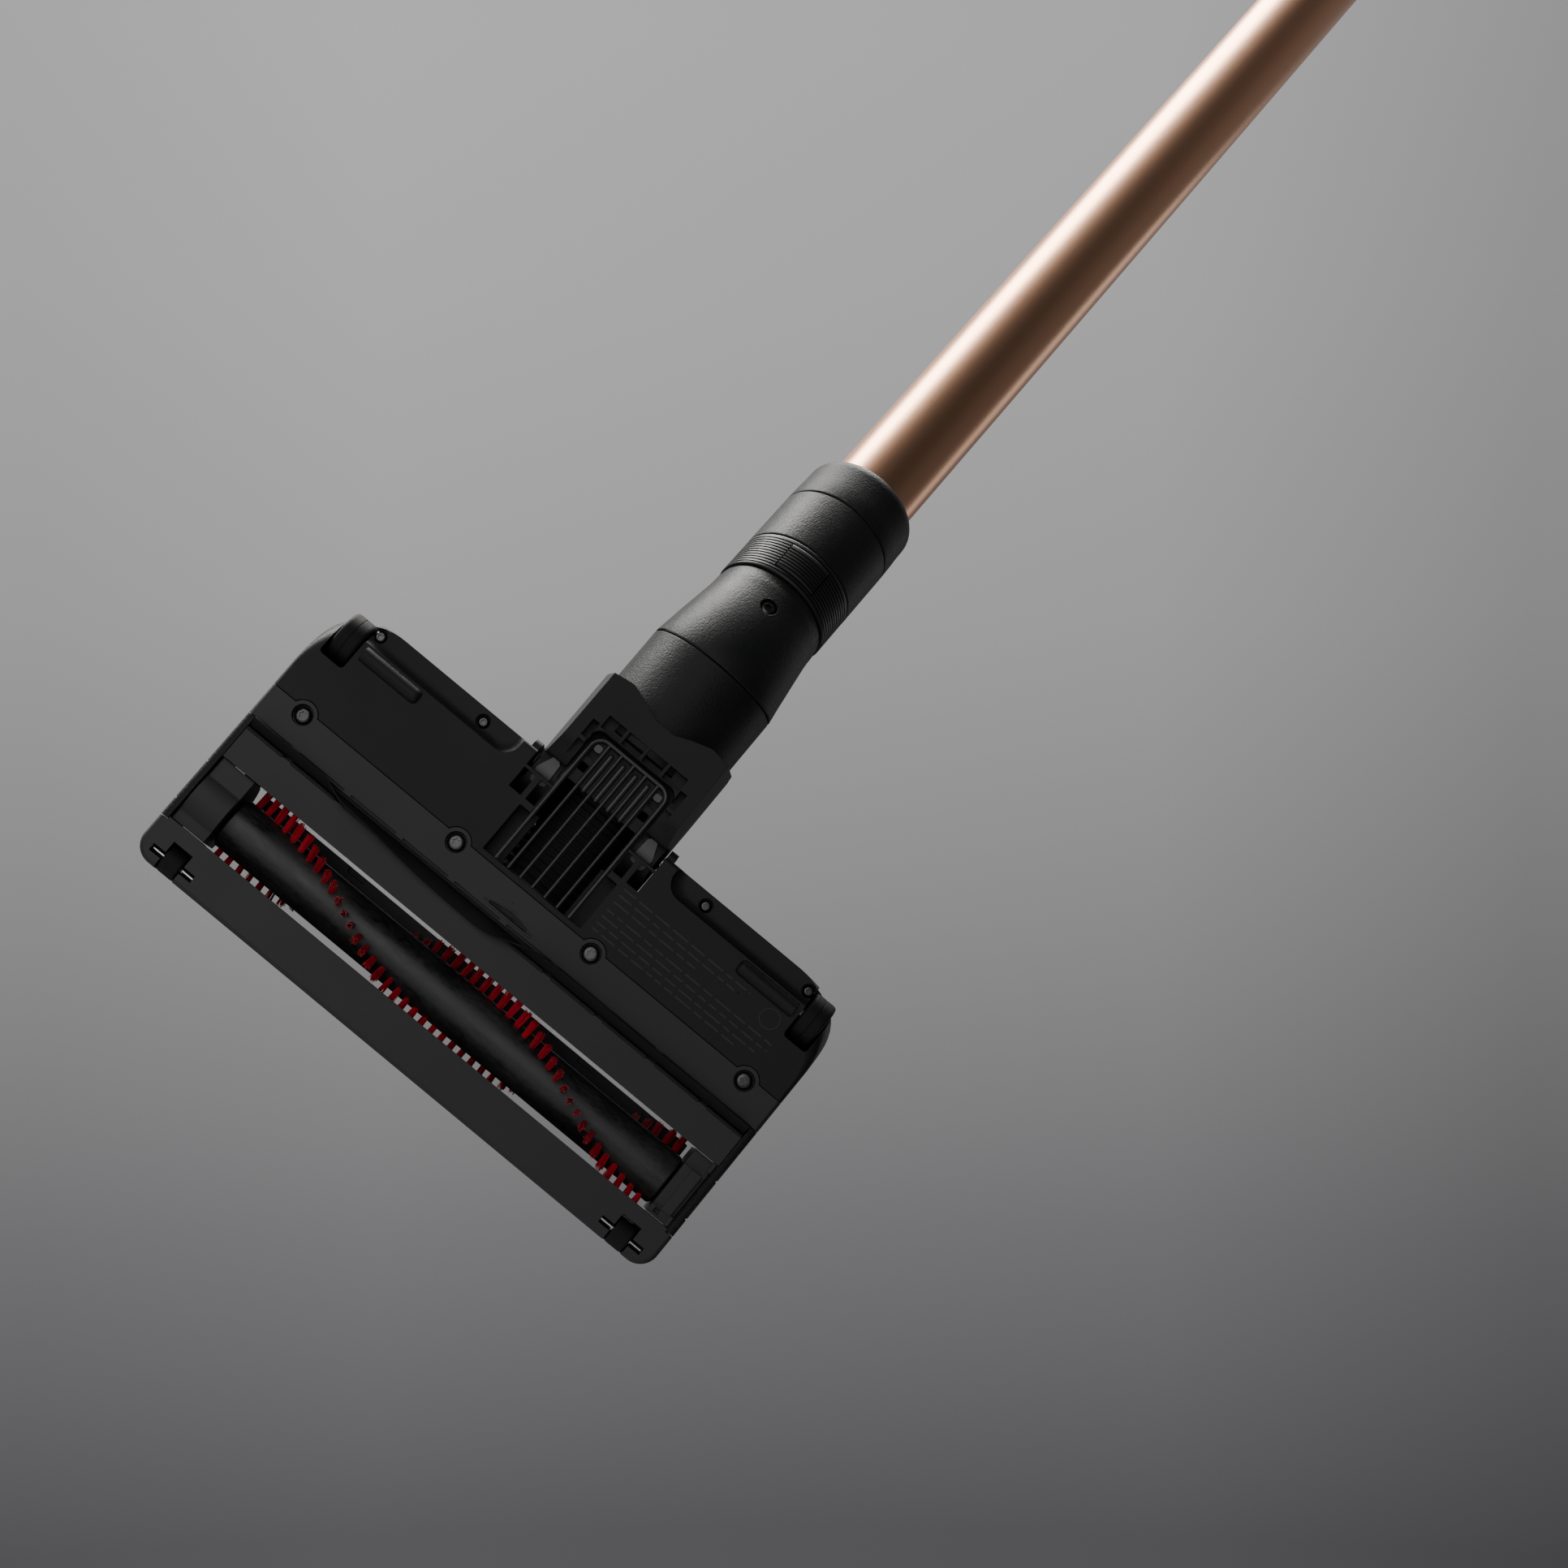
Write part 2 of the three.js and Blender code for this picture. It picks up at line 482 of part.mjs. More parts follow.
function addReleaseRing(machine) {
  const grooves = [];
  const pitch = 4.5;
  for (let z = RING.low; z < RING.high - pitch / 2; z += pitch) {
    grooves.push([RING.radius - 0.8, z], [RING.radius, z + 0.8], [RING.radius, z + pitch - 0.8]);
  }
  grooves.push([RING.radius - 0.8, RING.high]);
  const buttonSpace = block(-9.4, 9.4, 15, 30, RING.low + 3, RING.high - 2);
  addPart(machine, 'ribbed_ring', cut(turned(grooves, 18, 0, 0, 32), buttonSpace), BLACK);
  const face = RING.radius + 0.5;
  const button = turned([[face, RING.low + 3.4], [face, RING.high - 2.4]], 20.6, 0, 0, 48)
    .intersect(block(-9, 9, 15, 30, 0, 60));
  addPart(machine, 'head_release_button', button, BLACK);
}

function addWand(machine) {
  const around = WAND.radius + GAP;
  const collar = [[COLLAR.radius, RING.high + GAP], [COLLAR.radius, COLLAR.top]];
  addPart(machine, 'wand_collar', turned(collar, around, 0, 0, 32), BLACK);
  const end = [
    [COLLAR.radius, COLLAR.top + GAP], [COLLAR.radius, 84], [23.6, 90], [22.6, 95],
    [END_COLLAR.radius, 98.5], [END_COLLAR.radius - 1.2, END_COLLAR.top],
  ];
  addPart(machine, 'end_collar', turned(end, around, 0, 0, 32), BLACK);
  const tube = turned([[WAND.radius, WAND.bottom], [WAND.radius, WAND.top]], WAND.bore, 0, 0, 32);
  addPart(machine, 'wand_tube', tube, COPPER);
  addPart(machine, 'wire_channel', block(-3.5, 3.5, -WAND.bore + 0.7, -WAND.bore + 3.6, 60, 680), BLACK);
}

// ---------------------------------------------------------------- handheld unit
// The opening through which dirty air passes from the spine into the dust cup.
const portSpace = () => deepTurned([[PORT.radius, -40], [PORT.radius, 2]], 0, PORT.z);

function addInlet(machine) {
  const { low, high, radius } = UPPER_COLLAR;
  const button = { low: low + 18, high: low + 38 };
  const collar = turned([[21.5, low], [radius, low + 8], [radius, high]], WAND.radius + GAP, 0, 0, 32);
  const buttonWay = block(-7.4, 7.4, -30, -12, button.low - 0.4, button.high + 0.4);
  addPart(machine, 'upper_collar', cut(collar, buttonWay), BLACK);
  addPart(machine, 'wand_release_button', block(-7, 7, -24.6, -20.4, button.low, button.high), BLACK);

  const plan = new THREE.Shape();
  const corner = 10;
  const { halfWidth, front, back } = SPINE;
  plan.moveTo(-halfWidth, front);
  plan.lineTo(halfWidth, front);
  plan.lineTo(halfWidth, back - corner);
  plan.absarc(halfWidth - corner, back - corner, corner, 0, Math.PI / 2);
  plan.lineTo(-halfWidth + corner, back);
  plan.absarc(-halfWidth + corner, back - corner, corner, Math.PI / 2, Math.PI);
  const lowerArm = block(-18, 18, back - 2, BATTERY.front - GAP, 712, 742);
  const spine = cut(join(prism(plan, SPINE.low, SPINE.high), lowerArm),
    turned([[15, 700], [15, 855]]), portSpace(),
    post(CUP.radius + GAP, 700, CUP.high, 0, CUP.y, 40),
    post(HOUSING.radius + GAP, CUP.high - 1, 900, 0, HOUSING.y, 40));
  addPart(machine, 'body_spine', spine, BLACK);
}

function addDustCup(machine) {
  const cup = turned([[CUP.radius, CUP.low], [CUP.radius, CUP.high]], CUP.radius - CUP.wall, 0, CUP.y, 40);
  addPart(machine, 'dust_cup', cut(cup, portSpace()), SMOKED);
  const doorTop = CUP.low - GAP;
  const lid = [[CUP.radius - 3, doorTop - 5], [CUP.radius, doorTop - 3], [CUP.radius, doorTop]];
  const door = join(turned(lid, 0, 0, CUP.y, 40),
    block(-10, 10, CUP.y - CUP.radius - 6, CUP.y - CUP.radius + 4, doorTop - 4, doorTop));
  addPart(machine, 'cup_door', door, SMOKED);
  const latch = block(CUP.radius + GAP, CUP.radius + 4, CUP.y - 8, CUP.y + 8, CUP.low + 2, CUP.low + 24);
  addPart(machine, 'door_latch', latch, BLACK);
  const shroud = cut(turned([[10, 772], [26, 792], [26, CUP.high - 2]], 0, 0, CUP.y, 28),
    turned([[8.5, 770], [24.5, 793], [24.5, CUP.high]], 0, 0, CUP.y, 28));
  addPart(machine, 'cyclone_shroud', shroud, STEEL);
  const filter = turned([[38, CUP.high + 2], [38, CUP.high + 16]], 8, 0, HOUSING.y, 32);
  addPart(machine, 'pre_filter', filter, FOAM);
}

function addMotorUnit(machine) {
  const { low, high, radius, y } = HOUSING;
  const housing = turned([
    [radius - 4, low], [radius, low + 6], [radius, high - 10], [radius - 4, high - 3], [radius - 9, high],
  ], radius - 10, 0, y, 40);
  addPart(machine, 'motor_housing', housing, BLACK);
  addPart(machine, 'main_motor', turned([[12, 899], [30, 901], [30, 944], [12, 946]], 0, 0, y, 28), STEEL);
  addPart(machine, 'impeller', turned([[28, 889], [28, 891], [12, 897], [5, 898]], 0, 0, y, 28), STEEL);
  const slots = [];
  for (let i = -4; i <= 4; i += 1) {
    const reach = Math.sqrt(34 ** 2 - (i * 7) ** 2);
    slots.push(block(-reach, reach, y + i * 7 - 1.6, y + i * 7 + 1.6, high - 20, high + 10));
  }
  const disc = turned([[39, high - 6], [39, high - 1], [36, high + 1]], 0, 0, y, 40);
  addPart(machine, 'exhaust_grille', cut(disc, ...slots), BLACK);
}

function addHandle(machine) {
  const { halfWidth, top, bottom } = HANDLE;
  const profile = new THREE.Shape();
  const housingBack = HOUSING.y + HOUSING.radius - 12;
  profile.moveTo(housingBack, top - 36);
  profile.lineTo(62, top - 33);
  profile.absarc(62, top - 45, 12, Math.PI / 2, 0, true);
  profile.lineTo(66, bottom);
  profile.lineTo(104, bottom);
  profile.lineTo(116, top - 40);
  profile.absarc(86, top - 30, 30, 0, Math.PI / 2);
  profile.lineTo(housingBack, top);
  const triggerSlot = block(-6.3, 6.3, 60, 82, 868, 898);
  const handle = cut(crossPrism(profile, -halfWidth, halfWidth), triggerSlot,
    post(HOUSING.radius + GAP, 800, 1000, 0, HOUSING.y, 40), post(6.3, top - 3, top + 5, 0, 40),
    block(-40, 40, -40, SPINE.back + 4, 860, SPINE.high + GAP));
  addPart(machine, 'handle', handle, BLACK);
  addPart(machine, 'trigger', block(-6, 6, 65, 75, 868.5, 897.5), BLACK);
  addPart(machine, 'mode_button', post(6, top - 1.6, top + 1.2, 0, 40, 20), GLOSS_BLACK);
}

function addBattery(machine) {
  const { halfWidth, front, back, low, high } = BATTERY;
  const latchSpace = block(-12.4, 12.4, back - 30.4, back - 9.6, low - 1, low + 5);
  const corners = mirrored((side) =>
    sideBlock(side, halfWidth - 3, halfWidth + 1, back - 3, back + 1, low - 1, high + 1));
  const pack = cut(block(-halfWidth, halfWidth, front, back, low, high), latchSpace, ...corners);
  addPart(machine, 'battery', pack, BLACK);
  const latch = block(-12, 12, back - 30, back - 10, low - 0.5, low + 2.5);
  addPart(machine, 'battery_latch', latch, GLOSS_BLACK);
}

// ---------------------------------------------------------------- assembly
const vacuum = new THREE.Group();
const machine = new THREE.Group();
machine.position.set(0, -BATTERY.back, -DOCK_HEIGHT);
vacuum.add(machine);

const head = new THREE.Group();
const lean = Math.PI / 2 - HEAD_TILT - SLEEVE_RISE;
const hinge = new THREE.Vector3(0, -Math.sin(lean), -Math.cos(lean)).multiplyScalar(BEND_DISTANCE);
head.rotation.x = HEAD_TILT;
head.position.copy(hinge).sub(new THREE.Vector3(0, HINGE.y, HINGE.z).applyEuler(head.rotation));
machine.add(head);

const outline = addShells(head);
addBase(head, outline);
addChamberEnds(head);
addBrush(head);
addDrive(head);
addAirPath(head);
addGrille(head);
addHeadFasteners(head);
addWheels(head);
addNeck(head);
addElbow(machine);
addReleaseRing(machine);
addWand(machine);
addInlet(machine);
addDustCup(machine);
addMotorUnit(machine);
addHandle(machine);
addBattery(machine);

export default vacuum;
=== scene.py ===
"""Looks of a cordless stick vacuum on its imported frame; shapes are in millimetres, placed in metres."""

import json
import random
from math import cos, pi, radians, sin, sqrt

import bmesh
import bpy
from mathutils import Matrix, Vector


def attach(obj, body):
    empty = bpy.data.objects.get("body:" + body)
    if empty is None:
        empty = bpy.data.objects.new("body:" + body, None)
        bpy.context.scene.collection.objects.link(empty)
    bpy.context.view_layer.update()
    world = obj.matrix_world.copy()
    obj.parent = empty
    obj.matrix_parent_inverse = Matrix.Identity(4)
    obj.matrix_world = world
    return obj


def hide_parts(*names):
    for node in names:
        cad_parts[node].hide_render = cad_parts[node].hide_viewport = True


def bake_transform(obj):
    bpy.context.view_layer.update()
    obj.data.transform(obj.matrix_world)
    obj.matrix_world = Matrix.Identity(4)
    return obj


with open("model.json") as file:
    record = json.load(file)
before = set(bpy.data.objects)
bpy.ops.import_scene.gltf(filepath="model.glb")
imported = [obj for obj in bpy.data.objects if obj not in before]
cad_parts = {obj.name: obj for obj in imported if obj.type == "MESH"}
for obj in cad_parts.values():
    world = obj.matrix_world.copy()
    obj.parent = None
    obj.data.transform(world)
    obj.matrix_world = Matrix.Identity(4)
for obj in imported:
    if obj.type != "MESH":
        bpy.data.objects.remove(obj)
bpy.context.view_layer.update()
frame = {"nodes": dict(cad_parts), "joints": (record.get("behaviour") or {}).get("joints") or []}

# ------------------------------------------------------------------ driving dimensions
MM = 0.001
GAP = 0.3

# Floor head: X across, Y from front to back, Z up from the sole.
HALF_WIDTH, LENGTH = 122.5, 123.7
FRONT_RADIUS, BACK_RADIUS = 8, 19
SOLE_TOP, SOLE_BACK, BUMP_RADIUS = 6, 80, 5.6
CHASSIS_TOP = 12
BRUSH_Y, BRUSH_Z, CORE_RADIUS, TIP_RADIUS, CHAMBER_RADIUS = 30.9, 17.5, 10.6, 19.2, 20.8
BRISTLE_PITCH, FIRST_CROSSING, TUFT_STEP = 216, 45.6, 4.72
CHAMBER_LEFT, CHAMBER_RIGHT, CHAMBER_FRONT, CHAMBER_BACK = 103.5, -108.5, 18, 47.6
DECK_FRONT, DECK_BACK_Y, DECK_BACK, DECK_EDGE = 42.5, 100, 38, 26
HOOD_SEAM = 53
PANEL_INNER, PANEL_FRONT, PANEL_BACK = 119.3, 17, 66
SCREW_X, SCREW_Y = (106.5, 32.5, -32.5, -106.5), 77.8
REAR_SCREW_X, REAR_SCREW_Y = (104.3, 54.2, -54.2, -104.3), 119.1
THROAT_HALF, THROAT_FRONT, THROAT_BACK = 23.5, 82.4, 103.9
NARROW_HALF, NARROW_BACK = 18.5, 117
LIP_FRONT, LIP_BACK, LIP_HALF = 61.3, 65.3, 119
CLIP_PITCH, CLIP_LENGTH = 25, 21.6
RIB_PITCH, GRILLE_BACK, PAD_X = 5.85, 143.7, (-8.78, -2.93, 2.93, 8.78)
BUMPER_BACK = 16.5
FRONT_WHEEL = {"x": 107.2, "y": 5.5, "z": 4.6, "radius": 5.5, "width": 7.8}
REAR_WHEEL = {"x": 112.2, "y": 111.3, "z": 9, "radius": 10, "width": 9.6}
HINGE_Y, HINGE_Z, HINGE_LUG = 122, 20, 17.7
NECK_HALF, NECK_CAVITY = 30.5, 17.2
DUCT_Z, DUCT_RADIUS, DUCT_WIDENING = 24.5, 11, 1.5
REAR_POCKET_HALF = 5.5

# Neck and wand.
HEAD_TILT, SLEEVE_RISE = radians(66), radians(3)
SLEEVE_START, SLEEVE_END, SLEEVE_RADIUS, SLEEVE_BORE = 24, 68, 28.2, 22
BEND_DISTANCE = 78
RING_LOW, RING_HIGH, RING_RADIUS = 29.3, 48, 24.6
COLLAR_TOP, COLLAR_RADIUS = 76, 24.66
WAND_LOW, WAND_HIGH, WAND_RADIUS, WAND_BORE = 52, 690, 18.25, 16.8

# Handheld unit, in the wand's frame.
HOUSING_Y, HOUSING_RADIUS, CUP_Y, CUP_RADIUS = -62, 50, -71.5, 44
HANDLE_TOP, HANDLE_LOW, HANDLE_HALF = 946, 771, 15
BATTERY_LOW, BATTERY_HALF, BATTERY_FRONT, BATTERY_BACK = 698, 26, 58, 126

SIDES = ((1, "left"), (-1, "right"))

# Grey of the backdrop from below to above, and how much of it is left from the left side to the right.
BACKDROP_RISE = [
    (0.02, (0.106, 0.104, 0.111)), (0.21, (0.190, 0.188, 0.195)), (0.41, (0.307, 0.304, 0.308)),
    (0.615, (0.426, 0.421, 0.424)), (0.816, (0.503, 0.492, 0.497)), (0.98, (0.543, 0.529, 0.533)),
]
BACKDROP_ACROSS = [(0.02, (0.88,) * 3), (0.235, (1,) * 3), (0.745, (0.87,) * 3), (0.98, (0.62,) * 3)]

# Camera of the photograph, in the head's own directions.
LENS_MM, SENSOR_MM = 61.21, 36.0
VIEW_TILT, VIEW_ROLL = radians(8), radians(39.65)
HINGE_FROM_CAMERA = Vector((-47.5, -53.3, 1015.9))

JOINTS = {joint["name"]: joint for joint in frame["joints"]}
HINGE = Vector(JOINTS["neck_pitch"]["pos_m"])
BEND = Vector(JOINTS["neck_swivel"]["pos_m"])

# Edge rounding of the CAD nodes that stay, in mm.
EDGE_ROUNDING = {"body_spine": 5, "trigger": 2, "door_latch": 1.5, "battery_latch": 1.2,
                 "wand_release_button": 1.2}
OTHER_ROUNDING = 0.6

# Placements of the three modelling frames, from millimetres to the row frame.
SCALE = Matrix.Scale(MM, 4)
HEAD_FRAME = (
    Matrix.Translation(HINGE) @ Matrix.Rotation(HEAD_TILT, 4, "X") @ SCALE
    @ Matrix.Translation((0, -HINGE_Y, -HINGE_Z))
)
SLEEVE_FRAME = Matrix.Translation(HINGE) @ Matrix.Rotation(HEAD_TILT + SLEEVE_RISE - pi / 2, 4, "X") @ SCALE
WAND_FRAME = Matrix.Translation(BEND) @ SCALE
ON_WAND = (WAND_FRAME, "handheld")


# ------------------------------------------------------------------ camera, light, stage
def make_camera():
    head = Matrix.Rotation(HEAD_TILT, 3, "X")
    right = Vector((-1, 0, 0))
    up = head @ Vector((0, cos(VIEW_TILT), -sin(VIEW_TILT)))
    depth = head @ Vector((0, sin(VIEW_TILT), cos(VIEW_TILT)))
    offset = right * HINGE_FROM_CAMERA.x + up * HINGE_FROM_CAMERA.y + depth * HINGE_FROM_CAMERA.z
    image_right = right * cos(VIEW_ROLL) + up * sin(VIEW_ROLL)
    image_up = up * cos(VIEW_ROLL) - right * sin(VIEW_ROLL)
    data = bpy.data.cameras.new("camera")
    data.lens = LENS_MM
    data.sensor_width = SENSOR_MM
    data.clip_start, data.clip_end = 0.05, 50
    camera = bpy.data.objects.new("camera", data)
    bpy.context.collection.objects.link(camera)
    turn = Matrix((image_right, image_up, -depth)).transposed()
    camera.matrix_world = Matrix.Translation(HINGE - offset * MM) @ turn.to_4x4()
    bpy.context.scene.camera = camera
    return camera.matrix_world.copy()


def make_lights(view):
    """A long key above the wand, weaker lamps on its left and right, and a soft one by the camera."""
    def from_camera(right, up, forward):
        return view @ Vector((right, up, -forward))

    def facing(name, place, target, length, width, power, colour):
        data = bpy.data.lights.new(name, "AREA")
        data.shape = "RECTANGLE"
        data.size, data.size_y = width, length
        data.energy = power
        data.color = colour
        light = bpy.data.objects.new(name, data)
        bpy.context.collection.objects.link(light)
        back = (Vector(place) - Vector(target)).normalized()
        side = Vector((0, 0, 1)).cross(back).normalized()
        turn = Matrix((side, back.cross(side), back)).transposed()
        light.matrix_world = Matrix.Translation(place) @ turn.to_4x4()
        light.visible_camera = False

    target = HINGE + Vector((0, 0, 0.2))
    facing("key", from_camera(-0.14, 1.17, 1.56), target, 1.7, 0.5, 62, (1, 0.985, 0.96))
    facing("left", from_camera(-0.8, 0.65, 1.2), target, 0.7, 0.3, 3, (1, 1, 1))
    facing("right", from_camera(0.9, -0.33, 1.85), target, 1.2, 0.3, 1.3, (1, 0.98, 0.95))
    facing("front", from_camera(-0.15, 0.5, -0.2), target - Vector((0, 0, 0.25)), 1.2, 1.0, 5.5, (1, 1, 1))


def add_node(tree, kind, inputs=None, **settings):
    """A shader node with its settings and its unlinked inputs filled in."""
    made = tree.nodes.new("ShaderNode" + kind)
    for name, value in settings.items():
        setattr(made, name, value)
    for name, value in (inputs or {}).items():
        made.inputs[name].default_value = value
    return made


def make_world(view):
    """A grey studio sky: a backdrop that gets lighter upwards, and a dark room in front of it."""
    world = bpy.data.worlds.new("studio")
    bpy.context.scene.world = world
    world.use_nodes = True
    tree = world.node_tree
    link = tree.links.new
    right, up, back = (view.to_3x3().col[i].normalized() for i in range(3))

    def along(direction, low, high, stops):
        dot = add_node(tree, "VectorMath", {1: direction}, operation="DOT_PRODUCT")
        span = add_node(tree, "MapRange", {"From Min": low, "From Max": high})
        ramp = add_node(tree, "ValToRGB")
        colours = ramp.color_ramp.elements
        while len(colours) < len(stops):
            colours.new(0.5)
        for element, (position, colour) in zip(colours, stops):
            element.position = position
            element.color = (*colour, 1)
        link(coordinates.outputs["Generated"], dot.inputs[0])
        link(dot.outputs["Value"], span.inputs["Value"])
        link(span.outputs["Result"], ramp.inputs["Fac"])
        return ramp.outputs["Color"]

    def times(one, other):
        both = add_node(tree, "Mix", {"Factor": 1}, data_type="RGBA", blend_type="MULTIPLY")
        link(one, both.inputs["A"])
        link(other, both.inputs["B"])
        return both.outputs["Result"]

    coordinates = add_node(tree, "TexCoord")
    backdrop = times(along(up, -0.28, 0.28, BACKDROP_RISE), along(right, -0.28, 0.28, BACKDROP_ACROSS))
    room = along(-back, -0.3, 0.7, [(0, (0.13, 0.13, 0.13)), (1, (1, 1, 1))])
    link(times(backdrop, room), tree.nodes["Background"].inputs["Color"])


def make_floor():
    mesh = bpy.data.meshes.new("floor")
    size, low = 6, -2.3
    corners = [(-size, -size, low), (size, -size, low), (size, size, low), (-size, size, low)]
    mesh.from_pydata(corners, [], [(0, 1, 2, 3)])
    floor = bpy.data.objects.new("floor", mesh)
    bpy.context.collection.objects.link(floor)
    floor.data.materials.append(plain_material("pale_floor", (0.55, 0.55, 0.55), 0.8))


# ------------------------------------------------------------------ materials
def plain_material(name, colour, roughness, metallic=0.0):
    material = bpy.data.materials.new(name)
    material.use_nodes = True
    shader = material.node_tree.nodes["Principled BSDF"]
    shader.inputs["Base Color"].default_value = (*colour, 1)
    shader.inputs["Roughness"].default_value = roughness
    shader.inputs["Metallic"].default_value = metallic
    return material


def worn_edges(tree, radius):
    """A rounded normal for the edges, and a mask that is 1 where the edge has been rubbed."""
    rounded = add_node(tree, "Bevel", {"Radius": radius * MM}, samples=4)
    geometry = add_node(tree, "NewGeometry")
    agreement = add_node(tree, "VectorMath", operation="DOT_PRODUCT")
    tree.links.new(rounded.outputs["Normal"], agreement.inputs[0])
    tree.links.new(geometry.outputs["Normal"], agreement.inputs[1])
    mask = add_node(tree, "MapRange", {"From Min": 0.99, "From Max": 0.8})
    tree.links.new(agreement.outputs["Value"], mask.inputs["Value"])
    return rounded.outputs["Normal"], mask.outputs["Result"]


def surfaced(name, dark, light, roughness, grain, relief, metallic=0.0, patches=18.0, stretch=(1, 1, 1),
             edge=0.0, depth=0.1, specular=0.5):
    """A moulded surface: slow colour and gloss patches over a fine grain that also lifts the surface."""
    material = plain_material(name, dark, roughness[0], metallic)
    tree = material.node_tree
    link = tree.links.new
    shader = tree.nodes["Principled BSDF"]
    shader.inputs["Specular IOR Level"].default_value = specular
    coordinates = add_node(tree, "TexCoord")
    mapping = add_node(tree, "Mapping", {"Scale": stretch})
    link(coordinates.outputs["Object"], mapping.inputs["Vector"])
    broad = add_node(tree, "TexNoise", {"Scale": patches, "Detail": 5, "Roughness": 0.62})
    fine = add_node(tree, "TexNoise", {"Scale": grain, "Detail": 3})
    for texture in (broad, fine):
        link(mapping.outputs["Vector"], texture.inputs["Vector"])

    scaled = add_node(tree, "Math", {1: 0.65}, operation="MULTIPLY")
    link(broad.outputs["Fac"], scaled.inputs[0])
    both = add_node(tree, "Math", {1: 0.35}, operation="MULTIPLY_ADD")
    link(fine.outputs["Fac"], both.inputs[0])
    link(scaled.outputs["Value"], both.inputs[2])

    tint = add_node(tree, "ValToRGB")
    for stop, position, shade in zip(tint.color_ramp.elements, (0.35, 0.68), (dark, light)):
        stop.position = position
        stop.color = (*shade, 1)
    link(both.outputs["Value"], tint.inputs["Fac"])
    colour = tint.outputs["Color"]
    if edge:
        rounded, rubbed = worn_edges(tree, edge)
        worn = tuple(min(c * 2.2 + 0.004, 1) for c in light) + (1,)
        wear = add_node(tree, "Mix", {"B": worn}, data_type="RGBA")
        link(rubbed, wear.inputs["Factor"])
        link(colour, wear.inputs["A"])
        colour = wear.outputs["Result"]
    link(colour, shader.inputs["Base Color"])

    gloss = add_node(tree, "MapRange", {"From Min": 0.3, "From Max": 0.7, "To Min": roughness[0],
                                        "To Max": roughness[1]})
    link(both.outputs["Value"], gloss.inputs["Value"])
    link(gloss.outputs["Result"], shader.inputs["Roughness"])
    bump = add_node(tree, "Bump", {"Strength": relief, "Distance": depth * MM})
    link(fine.outputs["Fac"], bump.inputs["Height"])
    if edge:
        link(rounded, bump.inputs["Normal"])
    link(bump.outputs["Normal"], shader.inputs["Normal"])
    return material


def clear_material(name, colour, roughness, alpha):
    lighter = tuple(c * 1.3 for c in colour)
    material = surfaced(name, colour, lighter, (roughness, roughness + 0.08), 900, 0.05)
    shader = material.node_tree.nodes["Principled BSDF"]
    shader.inputs["Alpha"].default_value = alpha
    shader.inputs["Coat Weight"].default_value = 0.5
    return material


def make_materials():
    """Each look's material, with the slot it goes by."""
    looks = {
        "window": (clear_material("hood_clear", (0.30, 0.31, 0.32), 0.06, 0.10), "smoked_clear"),
        "cup": (clear_material("cup_clear", (0.10, 0.105, 0.11), 0.05, 0.30), "smoked_clear"),
    }

    def add(look, slot, name, *numbers, **more):
        looks[look] = (surfaced(name, *numbers, **more), slot)

    add("black", "black_plastic", "black_plastic", (0.0085, 0.0092, 0.0092), (0.0125, 0.0135, 0.0135),
        (0.5, 0.6), 2600, 0.5, edge=0.35, depth=0.03)
    add("matte", "black_plastic", "matte_plastic", (0.005, 0.0055, 0.0055), (0.0078, 0.0085, 0.0085),
        (0.5, 0.62), 2600, 0.5, edge=0.35, depth=0.03, specular=0.3)
    add("satin", "black_plastic", "satin_plastic", (0.008, 0.0085, 0.0085), (0.0135, 0.0145, 0.0145),
        (0.36, 0.6), 1350, 1.0, edge=0.45, depth=0.2, specular=0.2)
    add("ribbed", "black_plastic", "ribbed_plastic", (0.007, 0.0075, 0.0075), (0.0105, 0.0115, 0.0115),
        (0.4, 0.5), 2600, 0.3, specular=0.35)
    # The rib look is black plastic painted lighter all over: a painted highlight standing in for the bright
    # lines along the grille ribs. It is also used on the grille pads and hinge pads.
    add("rib", "black_plastic", "rib_plastic_painted_highlight", (0.022, 0.023, 0.023), (0.034, 0.035, 0.035), (0.24, 0.36),
        1200, 0.1)
    add("gloss", "gloss_plastic", "gloss_plastic", (0.006, 0.006, 0.0065), (0.010, 0.010, 0.011),
        (0.22, 0.38), 900, 0.1, edge=0.4)
    add("roller", "gloss_plastic", "roller_plastic", (0.005,) * 3, (0.040,) * 3, (0.26, 0.62), 420, 0.25,
        patches=46, stretch=(1, 2.4, 2.4))
    add("rubber", "rubber", "rubber", (0.006,) * 3, (0.011,) * 3, (0.6, 0.75), 1500, 0.4, specular=0.2)
    add("bristle", "red_bristle", "red_bristle", (0.42, 0.004, 0.018), (0.66, 0.012, 0.04), (0.35, 0.6),
        2500, 0.3, patches=400)
    add("copper", "copper_tube", "copper_tube", (0.62, 0.335, 0.205), (0.67, 0.38, 0.24), (0.27, 0.33),
        3800, 0.22, metallic=1.0, patches=9, stretch=(1, 1, 0.15))
    add("steel", "steel", "steel", (0.5,) * 3, (0.72,) * 3, (0.18, 0.32), 1600, 0.2, metallic=1.0)
    add("steel_dark", "steel", "dark_screw", (0.05, 0.05, 0.052), (0.12, 0.12, 0.125), (0.25, 0.4), 1200,
        0.3, metallic=1.0)
    add("cast", "motor_metal", "motor_metal", (0.32, 0.32, 0.33), (0.45, 0.45, 0.46), (0.4, 0.55), 1300,
        0.5, metallic=1.0)
    add("foam", "filter_foam", "filter_foam", (0.10, 0.10, 0.11), (0.2, 0.2, 0.21), (0.85, 0.95), 1400, 1.0)
    return looks


# ------------------------------------------------------------------ outlines
def arc(cx, cy, radius, start, end, steps=8):
    """Points of an arc, in degrees."""
    turn = [radians(start + (end - start) * i / steps) for i in range(steps + 1)]
    return [(cx + radius * cos(a), cy + radius * sin(a)) for a in turn]


